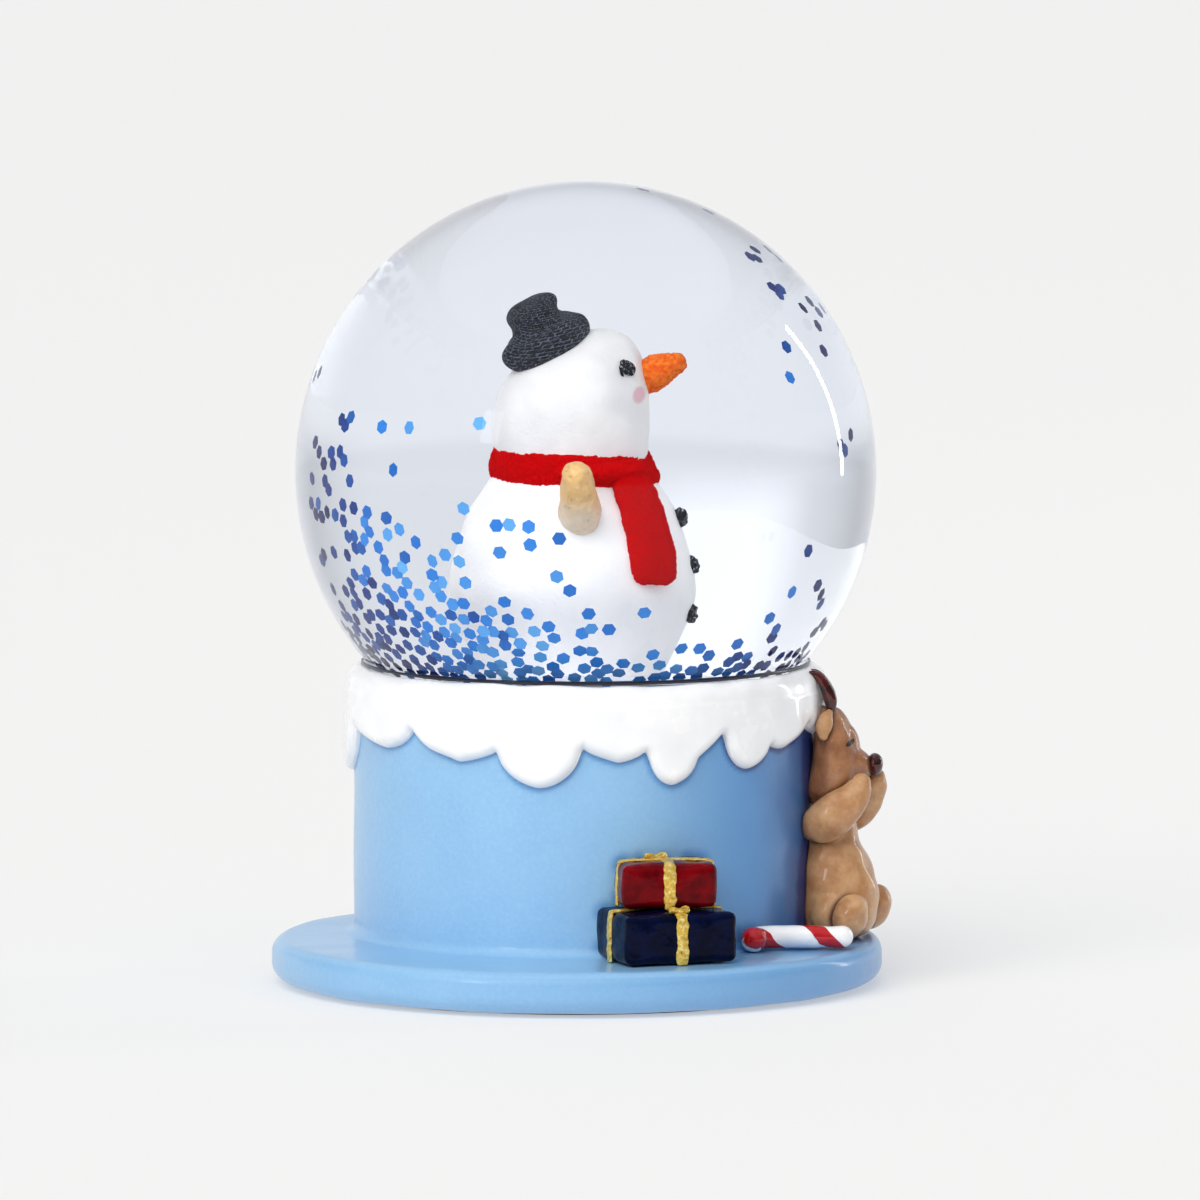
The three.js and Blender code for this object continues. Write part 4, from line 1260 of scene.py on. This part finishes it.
# Size, turn in degrees, swelling of the sides, and the bow's place: shares of the lid, then its lift.
GIFTS = {
    "blue": ((8.9, 7.4, 3.75), 20, 0.10, (0.5, 0.5 / 7.4, 0.15)),
    "red": ((7.2, 5.4, 3.3), 7, 0.16, (0.4, 0.5, 0.22)),
}


def gifts(paints, gold):
    for colour, (size, turn, bulge, (across, deep, lift)) in GIFTS.items():
        low, high = corners(f"gift_{colour}")
        corner = Vector((high[0] - size[0] * math.cos(math.radians(turn)), low[1] + 0.05, low[2]))
        box = moved_mesh(uneven(puffy_box(size, 0.5, bulge), 0.1, 1.6), turn, corner)
        place_piece(f"box_{colour}", box, paints[colour], [f"gift_{colour}"])
        ribbon = moved_mesh(ribbon_mesh(size, bulge), turn, corner)
        place_piece(f"ribbon_{colour}", ribbon, gold, [f"gift_{colour}_ribbon"])
        knot = Vector((size[0] * across, size[1] * deep, size[2] + lift))
        bow = moved_mesh(bow_mesh(knot), turn, corner)
        place_piece(f"bow_{colour}", bow, gold, [f"gift_{colour}_bow"])


CANE_HOOK = 1.55


def candy_cane(paint):
    """A straight stick with a quarter-turn hook towards the front, lying on the plinth."""
    low, high = corners("candy_cane")
    z = (low[2] + high[2]) / 2
    radius = (high[2] - low[2]) / 2
    bend_y = high[1] - radius
    bend_x = low[0] + radius + CANE_HOOK
    stick = [[high[0] - 0.3, bend_y + 0.1], [high[0] - 2.5, bend_y + 0.1], [bend_x + 1.2, bend_y]]
    path = np.vstack([stick, arc(bend_x, bend_y - CANE_HOOK, CANE_HOOK, 90, 185, 5)])
    rows = np.column_stack([path, *(np.full(len(path), size) for size in (z, radius, radius))])
    rows[-1, 3:] *= 1.12
    mesh = mesh_of("cane", limb(rows, 48, 8, (0, 0, 1)))
    place_piece("striped_cane", uneven(mesh, 0.1, 1.2), paint, ["candy_cane"])


# ---------------------------------------------------------------- glitter


# Drifts of flakes clinging to the glass: across, up, spread across, spread up, count.
# Across and up are shares of the globe's radius as it is seen from the front.
DRIFTS = [
    (-0.79, -0.49, 0.035, 0.10, 34), (-0.70, -0.60, 0.07, 0.07, 46), (-0.57, -0.66, 0.10, 0.055, 42),
    (-0.42, -0.69, 0.10, 0.04, 28), (-0.24, -0.70, 0.10, 0.03, 14), (-0.65, -0.46, 0.07, 0.06, 16),
    (-0.52, -0.51, 0.08, 0.045, 22), (-0.38, -0.56, 0.10, 0.045, 18), (-0.19, -0.56, 0.07, 0.025, 9),
    (-0.63, -0.34, 0.09, 0.05, 9), (-0.43, -0.30, 0.09, 0.06, 7), (-0.88, -0.01, 0.045, 0.08, 16),
    (-0.87, -0.18, 0.045, 0.05, 9), (-0.75, -0.22, 0.05, 0.035, 11), (-0.82, 0.12, 0.012, 0.07, 4),
    (-0.57, -0.02, 0.08, 0.11, 4), (-0.30, -0.20, 0.09, 0.05, 5), (-0.05, -0.38, 0.05, 0.03, 2),
    (0.04, -0.52, 0.06, 0.04, 5), (-0.05, -0.66, 0.06, 0.025, 5), (0.04, -0.73, 0.07, 0.012, 6),
    (0.31, -0.73, 0.07, 0.015, 8), (0.54, -0.68, 0.045, 0.04, 12), (0.71, -0.66, 0.035, 0.035, 16),
    (0.78, -0.41, 0.035, 0.06, 7), (0.66, -0.42, 0.04, 0.12, 2), (0.61, 0.76, 0.035, 0.02, 5),
    (0.645, 0.61, 0.012, 0.02, 3), (0.79, 0.54, 0.03, 0.04, 5), (0.75, 0.40, 0.07, 0.02, 2),
    (0.70, 0.325, 0.005, 0.005, 1), (0.89, 0.18, 0.015, 0.08, 3), (0.43, 0.90, 0.01, 0.005, 1),
    (0.22, 0.97, 0.01, 0.003, 1), (-0.92, 0.34, 0.012, 0.012, 2),
]
FLAKE_WIDTH, FLAKE_THICKNESS = 0.94, 0.03
FLAKE_SPACING, FLAKE_TRIES = 0.74, 4
FLAKE_SHELL = WATER_RADIUS - 0.25
FOOT_FLAKES = 130


def behind_glass(across, up):
    """The spot on the water side of the glass that is seen at this share of the radius from the front."""
    seen = min(math.hypot(across, up), 0.985)
    inside = seen / GLASS_IOR
    polar = math.asin(inside * GLOBE_RADIUS / FLAKE_SHELL) + math.asin(seen) - math.asin(inside)
    toward = np.array([0, -math.cos(FRONT_RISE), math.sin(FRONT_RISE)])
    upward = np.array([0, math.sin(FRONT_RISE), math.cos(FRONT_RISE)])
    side = (np.array([across, 0, 0]) + upward * up) / max(math.hypot(across, up), 1e-6)
    return (toward * math.cos(polar) + side * math.sin(polar)) * FLAKE_SHELL


def flake_places():
    """Where the flakes hang: in drifts on the glass and heaped round the foot."""
    chance = np.random.default_rng(SEED)
    places = []
    floor = corners("figure_plate")[1][2] - GLOBE_Z - 0.9

    def settle(draw):
        """Keeps the first drawn spot that is clear of the flakes already there."""
        for _ in range(FLAKE_TRIES):
            spot = np.array(draw())
            if spot[2] <= floor:
                continue
            if not places or np.min(np.linalg.norm(np.array(places) - spot, axis=1)) > FLAKE_SPACING:
                places.append(spot)
                return

    def at_foot():
        angle = chance.vonmises(math.radians(165), 0.4)
        height = floor + chance.exponential(0.8)
        wall = math.sqrt((WATER_RADIUS - 0.3) ** 2 - height**2)
        return [wall * math.cos(angle), wall * math.sin(angle), height]

    for across, up, wide, tall, count in DRIFTS:
        for _ in range(count):
            settle(lambda: behind_glass(across + chance.normal() * wide, up + chance.normal() * tall))
    for _ in range(FOOT_FLAKES):
        settle(at_foot)
    return np.array(places) + [0, 0, GLOBE_Z], chance


def flake_cloud():
    """A point for every flake, with its turn against the glass and its shade of blue: its own tone, darker
    toward the globe's edge as seen from the front, which is painted shade.
    """
    places, chance = flake_places()
    cloud = bpy.data.meshes.new("flake_places")
    cloud.from_pydata((places * MM).tolist(), [], [])
    turn = cloud.attributes.new("turn", "FLOAT_VECTOR", "POINT")
    outward = places - [0, 0, GLOBE_Z]
    outward /= np.linalg.norm(outward, axis=1)[:, None]
    angles = []
    for way in outward:
        lean = Vector((way + chance.normal(size=3) * 0.10).tolist()).normalized()
        spin = Matrix.Rotation(chance.uniform(0, TURN), 3, "Z")
        angles.append((lean.to_track_quat("Z", "Y").to_matrix() @ spin).to_euler()[:])
    turn.data.foreach_set("vector", np.array(angles, np.float32).ravel())
    # Painted shade: flakes far out toward the globe's edge, as seen from the front, get darker.
    rim_shade = np.clip((np.hypot(places[:, 0], (places[:, 2] - GLOBE_Z)) / WATER_RADIUS - 0.72) / 0.25, 0, 1)
    mark_points(cloud, "shade", np.clip(0.7 - 0.7 * rim_shade + chance.normal(size=len(places)) * 0.13, 0, 1))
    return cloud


def glitter(paint):
    """The loose foil flakes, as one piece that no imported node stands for."""
    holder = bpy.data.objects.new("flake_holder", flake_cloud())
    bpy.context.scene.collection.objects.link(holder)
    modifier = holder.modifiers.new("Flakes", "NODES")
    tree, sockets = flake_tree(paint)
    modifier.node_group = tree
    modifier[sockets["Width"]] = FLAKE_WIDTH * MM
    modifier[sockets["Thickness"]] = FLAKE_THICKNESS * MM
    graph = bpy.context.evaluated_depsgraph_get()
    mesh = bpy.data.meshes.new_from_object(holder.evaluated_get(graph), depsgraph=graph)
    bpy.data.objects.remove(holder)
    piece = bpy.data.objects.new("glitter_flakes", mesh)
    bpy.context.scene.collection.objects.link(piece)
    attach(piece, "root")


def flake_tree(paint):
    """Geometry Nodes: a hexagon of foil on every point, turned as the point says."""
    tree = bpy.data.node_groups.new("glitter_flakes", "GeometryNodeTree")
    face = tree.interface
    face.new_socket("Points", in_out="INPUT", socket_type="NodeSocketGeometry")
    names = {}
    for name in ("Width", "Thickness"):
        names[name] = face.new_socket(name, in_out="INPUT", socket_type="NodeSocketFloat").identifier
    face.new_socket("Flakes", in_out="OUTPUT", socket_type="NodeSocketGeometry")
    new, link = tree.nodes.new, tree.links.new
    source, target = new("NodeGroupInput"), new("NodeGroupOutput")
    hexagon = new("GeometryNodeMeshCylinder")
    hexagon.inputs["Vertices"].default_value = 6
    half = new("ShaderNodeMath")
    half.operation = "DIVIDE"
    half.inputs[1].default_value = math.sqrt(3)
    link(source.outputs["Width"], half.inputs[0])
    link(half.outputs[0], hexagon.inputs["Radius"])
    link(source.outputs["Thickness"], hexagon.inputs["Depth"])
    turn = new("GeometryNodeInputNamedAttribute")
    turn.data_type = "FLOAT_VECTOR"
    turn.inputs["Name"].default_value = "turn"
    spread = new("GeometryNodeInstanceOnPoints")
    link(source.outputs["Points"], spread.inputs["Points"])
    link(hexagon.outputs["Mesh"], spread.inputs["Instance"])
    link(turn.outputs["Attribute"], spread.inputs["Rotation"])
    real = new("GeometryNodeRealizeInstances")
    link(spread.outputs["Instances"], real.inputs[0])
    coat = new("GeometryNodeSetMaterial")
    coat.inputs["Material"].default_value = paint
    link(real.outputs[0], coat.inputs["Geometry"])
    link(coat.outputs[0], target.inputs["Flakes"])
    return tree, names


# ---------------------------------------------------------------- studio


LAMP_TARGET = Vector((0, 0, 0.03))


def lamp(name, at, size, watts):
    """A small white lamp whose shine shows on gloss but not through the glass."""
    light = bpy.data.lights.new(name, "AREA")
    light.shape = "RECTANGLE"
    light.size, light.size_y = size
    light.energy = watts
    lamp_object = bpy.data.objects.new(name, light)
    lamp_object.location = at
    lamp_object.rotation_mode = "QUATERNION"
    lamp_object.rotation_quaternion = (LAMP_TARGET - Vector(at)).to_track_quat("-Z", "Y")
    lamp_object.visible_transmission = False
    bpy.context.scene.collection.objects.link(lamp_object)


# Levels of the room's light: all round, behind, behind at the left, overhead and at the horizon.
ROOM_DIM, ROOM_BACK, ROOM_BACK_LEFT, ROOM_TOP, ROOM_HORIZON = 0.13, 0.3, 0.2, 0.34, 0.6


def soft_room():
    """Pale room light: bright behind the subject, dim on the viewer's side, pale through clear glass."""
    world = bpy.data.worlds.new("soft_room")
    paint = Paint("soft_room", world)
    way = paint.node("ShaderNodeTexCoord", out="Generated")
    x, y, z = (paint.axis(way, name) for name in "XYZ")
    back = paint.between(y, 0.45, 0.85) * (ROOM_BACK + paint.between(x, 0.35, -0.35) * ROOM_BACK_LEFT)
    above = paint.between(z, 0.25, 0.9)
    horizon = paint.between(z.math("ABSOLUTE"), 0.4, 0.02) * paint.between(y, -0.3, 0.4)
    level = ROOM_DIM + back + above * ROOM_TOP + horizon * ROOM_HORIZON
    tone = paint.blend(level, "#000000", "#f4f5f8")
    sky = paint.node("ShaderNodeBackground", inputs={"Color": tone, "Strength": 1.0})
    beyond = paint.blend(above, "#e3e7ee", "#f3f5f9")
    through = paint.node("ShaderNodeBackground", inputs={"Color": beyond, "Strength": 0.9})
    clear = paint.node("ShaderNodeLightPath", out="Is Transmission Ray")
    paint.output(paint.node("ShaderNodeMixShader", inputs={0: clear, 1: sky, 2: through}), "World")
    bpy.context.scene.world = world


def soft_sun(name, strength, spread, turn, rise, tint):
    """Very broad even light from a compass turn and a rise above the floor, in degrees."""
    light = bpy.data.lights.new(name, "SUN")
    light.energy = strength
    light.angle = math.radians(spread)
    light.color = rgba(tint)[:3]
    source = bpy.data.objects.new(name, light)
    turn, rise = math.radians(turn), math.radians(rise)
    way = Vector((math.cos(turn) * math.cos(rise), math.sin(turn) * math.cos(rise), math.sin(rise)))
    source.rotation_mode = "QUATERNION"
    source.rotation_quaternion = way.to_track_quat("Z", "Y")
    source.visible_glossy = False
    bpy.context.scene.collection.objects.link(source)


CARD_GLOW = 1.3


def backing_card():
    """A glowing card behind the globe, seen only through clear glass: bright at left, greyer at right."""
    paint = Paint("backing_card")
    spot = paint.place()
    across, up = paint.axis(spot, "X"), paint.axis(spot, "Z")
    window = paint.between(across, 5.0, -40.0) * paint.between(across, -128.0, -70.0)
    window = window * paint.between(up, 8.0, 36.0)
    table = paint.between(up, 30.0, -6.0)
    seam = paint.between(up, 2.0, 8.0) * paint.between(up, 20.0, 9.0)
    sides = paint.between(across.math("ABSOLUTE"), 90.0, 280.0)
    level = 0.84 + window * 0.30 + table * 0.11 - seam * 0.05 - sides * 0.38
    paint.finish(
        Base_Color="#000000",
        Specular_IOR_Level=0.0,
        Emission_Color=paint.blend(level / CARD_GLOW, "#000000", "#f4f6fa"),
        Emission_Strength=CARD_GLOW,
    )
    wide, near, away, low, top = 900, -200, 258, 0.5, 1200
    card = stage_sheet("backing_card", [(near, low), (away, low), (away, top)], wide, paint.material)
    for ray in ("camera", "diffuse", "glossy", "shadow", "volume_scatter"):
        setattr(card, f"visible_{ray}", False)


def stage_sheet(name, rows, wide, material):
    """A studio sheet this wide to each side, through these rows of [Y, height] in millimetres."""
    mesh = bpy.data.meshes.new(name)
    points = [(x * MM, y * MM, z * MM) for y, z in rows for x in (-wide, wide)]
    spans = [(k, k + 1, k + 3, k + 2) for k in range(0, 2 * len(rows) - 2, 2)]
    mesh.from_pydata(points, [], spans)
    mesh.materials.append(material)
    sheet = bpy.data.objects.new(name, mesh)
    bpy.context.scene.collection.objects.link(sheet)
    return sheet


def floor():
    """A plain pale floor that lifts its own shadows a little."""
    paint = Paint("floor_card")
    paint.finish(
        Base_Color=paint.blend(paint.noise(400.0, 1), "#bababa", "#bcbcbc"),
        Roughness=0.9,
        Specular_IOR_Level=0.1,
        Emission_Color="#ffffff",
        Emission_Strength=0.42,
    )
    half = 4000.0
    stage_sheet("floor", [(-half, 0), (half, 0)], half, paint.material)


def studio():
    soft_room()
    soft_sun("key", 2.25, 60, -119, 42, "#fffdf8")
    soft_sun("fill", 0.42, 70, -50, 30, "#f6f9ff")
    lamp("spark_left", (-0.45, -0.55, 0.30), (0.10, 0.16), 0.35)
    lamp("edge_right", (0.55, 0.33, 0.18), (0.03, 0.42), 0.5)
    backing_card()
    floor()
    bpy.context.scene.view_settings.view_transform = "Standard"


# How much of the object's surroundings the camera takes in, and where it aims, in millimetres.
VIEW_WIDTH = 93.0233
VIEW_TARGET = (1.1, 0, 29.2)
SENSOR = 36.0


def camera():
    distance, target = 1.0, Vector(VIEW_TARGET) * MM
    eye = bpy.data.cameras.new("camera")
    eye.sensor_width = SENSOR
    eye.lens = SENSOR * distance / (VIEW_WIDTH * MM)
    eye.clip_start, eye.clip_end = 0.05, 20
    camera_object = bpy.data.objects.new("camera", eye)
    back = Vector((0, -math.cos(FRONT_RISE), math.sin(FRONT_RISE)))
    camera_object.location = target + back * distance
    camera_object.rotation_mode = "QUATERNION"
    camera_object.rotation_quaternion = (-back).to_track_quat("-Z", "Y")
    bpy.context.scene.collection.objects.link(camera_object)
    bpy.context.scene.camera = camera_object


# ---------------------------------------------------------------- building


# Radius and height of the line where the glass leaves the snow.
RIM_RADIUS, RIM_HEIGHT = 17.35, 24.5


def rim_line():
    """A dark ring where the glass leaves the snow, thicker at the front: painted shadow of the gap between
    them.
    """
    around = np.linspace(0, TURN, 10, endpoint=False)
    rings = []
    for a in np.linspace(0, TURN, 360, endpoint=False):
        waver = noise.noise(Vector((3 * math.cos(a), 3 * math.sin(a), 0)))
        thick = 0.085 - 0.03 * math.sin(a) + 0.05 * waver
        r, z = RIM_RADIUS + thick * np.cos(around), RIM_HEIGHT + 1.4 * thick * np.sin(around)
        rings.append(np.stack([r * math.cos(a), r * math.sin(a), z], 1))
    return mesh_of("rim_line", np.array(rings), looped=True)


# How far, in millimetres, and how deep the painted shade reaches beside each group of ornaments.
SHADE_BESIDE = [
    (1.9, 0.8, ("reindeer_body", "reindeer_head")),
    (0.9, 0.45, ("gift_blue", "gift_red", "candy_cane")),
]


def paint_base_shade(mesh):
    """Marks painted shade on the base: beside the ornaments, under the snow's edge, down the drum's right
    side, across the base's right and round the plinth's wall.
    """
    points = points_of(mesh)
    contact_shade = np.zeros(len(points))
    # Painted shade close beside each ornament.
    for reach, depth, nodes in SHADE_BESIDE:
        tree = tree_of([v.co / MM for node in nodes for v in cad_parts[node].data.vertices])
        near = np.array([tree.find(p)[2] for p in points])
        contact_shade = np.maximum(contact_shade, np.clip(1 - near / reach, 0, 1) ** 1.3 * depth)
    azimuth = np.degrees(np.arctan2(points[:, 1], points[:, 0]))
    on_drum = np.hypot(points[:, 0], points[:, 1]) < DRUM_RADIUS + 0.4
    # Painted shade down the drum's right side.
    shade = np.clip((azimuth + 78) / 60, 0, 1) * np.clip((25 - azimuth) / 30, 0, 1) * on_drum
    # Painted shade in a band just below the snow's drips.
    snow_edge, _ = drip_tree()
    unrolled = np.radians(azimuth) * COLLAR_RADIUS
    under = np.array([snow_edge.find((x, z, 0))[2] for x, z in zip(unrolled, points[:, 2])])
    # Painted shade across the base's right and on the plinth's wall below its top.
    side_and_wall_shade = np.clip((azimuth + 115) / 90, 0, 1) * np.clip((40 - azimuth) / 30, 0, 1) * 0.3
    side_and_wall_shade += (points[:, 2] < PLINTH_TOP - 0.4) * 0.12
    settled = contact_shade + shade * 0.5 + np.clip(1 - under / 0.45, 0, 1) * 0.5 * on_drum + side_and_wall_shade
    mark_points(mesh, "settled", np.clip(settled, 0, 1))


def hidden_pieces():
    """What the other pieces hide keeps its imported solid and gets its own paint."""
    paints = {
        "base_pad": pad_foam(),
        "rubber_stopper": plain_varnish("stopper_rubber", "#3a3a3d", "#242427", 0.75, 1.0, 0.0),
        "globe_bond": plain_varnish("bond_epoxy", "#efead8", "#ddd6bc", 0.3, 1.0, 0.2),
    }
    for node, paint in paints.items():
        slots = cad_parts[node].data.materials
        slots.clear()
        slots.append(paint)


def build():
    camera()
    base = plinth_and_drum()
    paint_base_shade(base)
    place_piece("plinth_and_drum", base, base_enamel(), ["base_casting"])
    snow = snow_enamel()
    place_piece("snow_drips", snow_collar(), snow, ["snow_collar"])
    dry = clear_glass("clear_glass", GLASS_IOR, "#fcfdff", "#8a8a90")
    wet = clear_glass("wet_glass", WET_IOR, "#fdfeff", "#8a8a90")
    split_wall(place_piece("glass_ball", glass_ball(), [dry, wet], ["glass_globe"]))
    # The rim line is a dark ring of painted shadow where the glass leaves the snow.
    place_piece("rim_line", rim_line(), plain_varnish("rim_gap_shadow", "#141a33", "#0a0d1c", 0.3, 1.5, 0.3))
    place_piece("water_body", water_body(), clear_water(), ["liquid_fill"])
    place_piece("snow_ground", snow_ground(), snow, ["figure_plate"])
    snowman_pieces(
        [
            snowman_satin(), snowman_face(), scarf_flock(), hat_weave(),
            plain_varnish("carrot_paint", "#f9862c", "#e35208", 0.6, 0.28, 0.0, 0.08, gloss=0.2),
            coal_speckle(),
            twig_paint(),
        ]
    )
    reindeer_pieces(fur_paint(), reindeer_face(), antler_enamel())
    wrapping = {
        "red": plain_varnish("gift_red_paint", "#7a020c", "#4e0107", 0.1, 1.6, 0.0, 0.05, gloss=0.1),
        "blue": plain_varnish("gift_blue_paint", "#060f34", "#03071c", 0.1, 1.6, 0.0, 0.05, gloss=0.08),
    }
    gifts(wrapping, gold_leaf())
    candy_cane(cane_enamel())
    glitter(flake_foil())
    hidden_pieces()
    studio()


build()
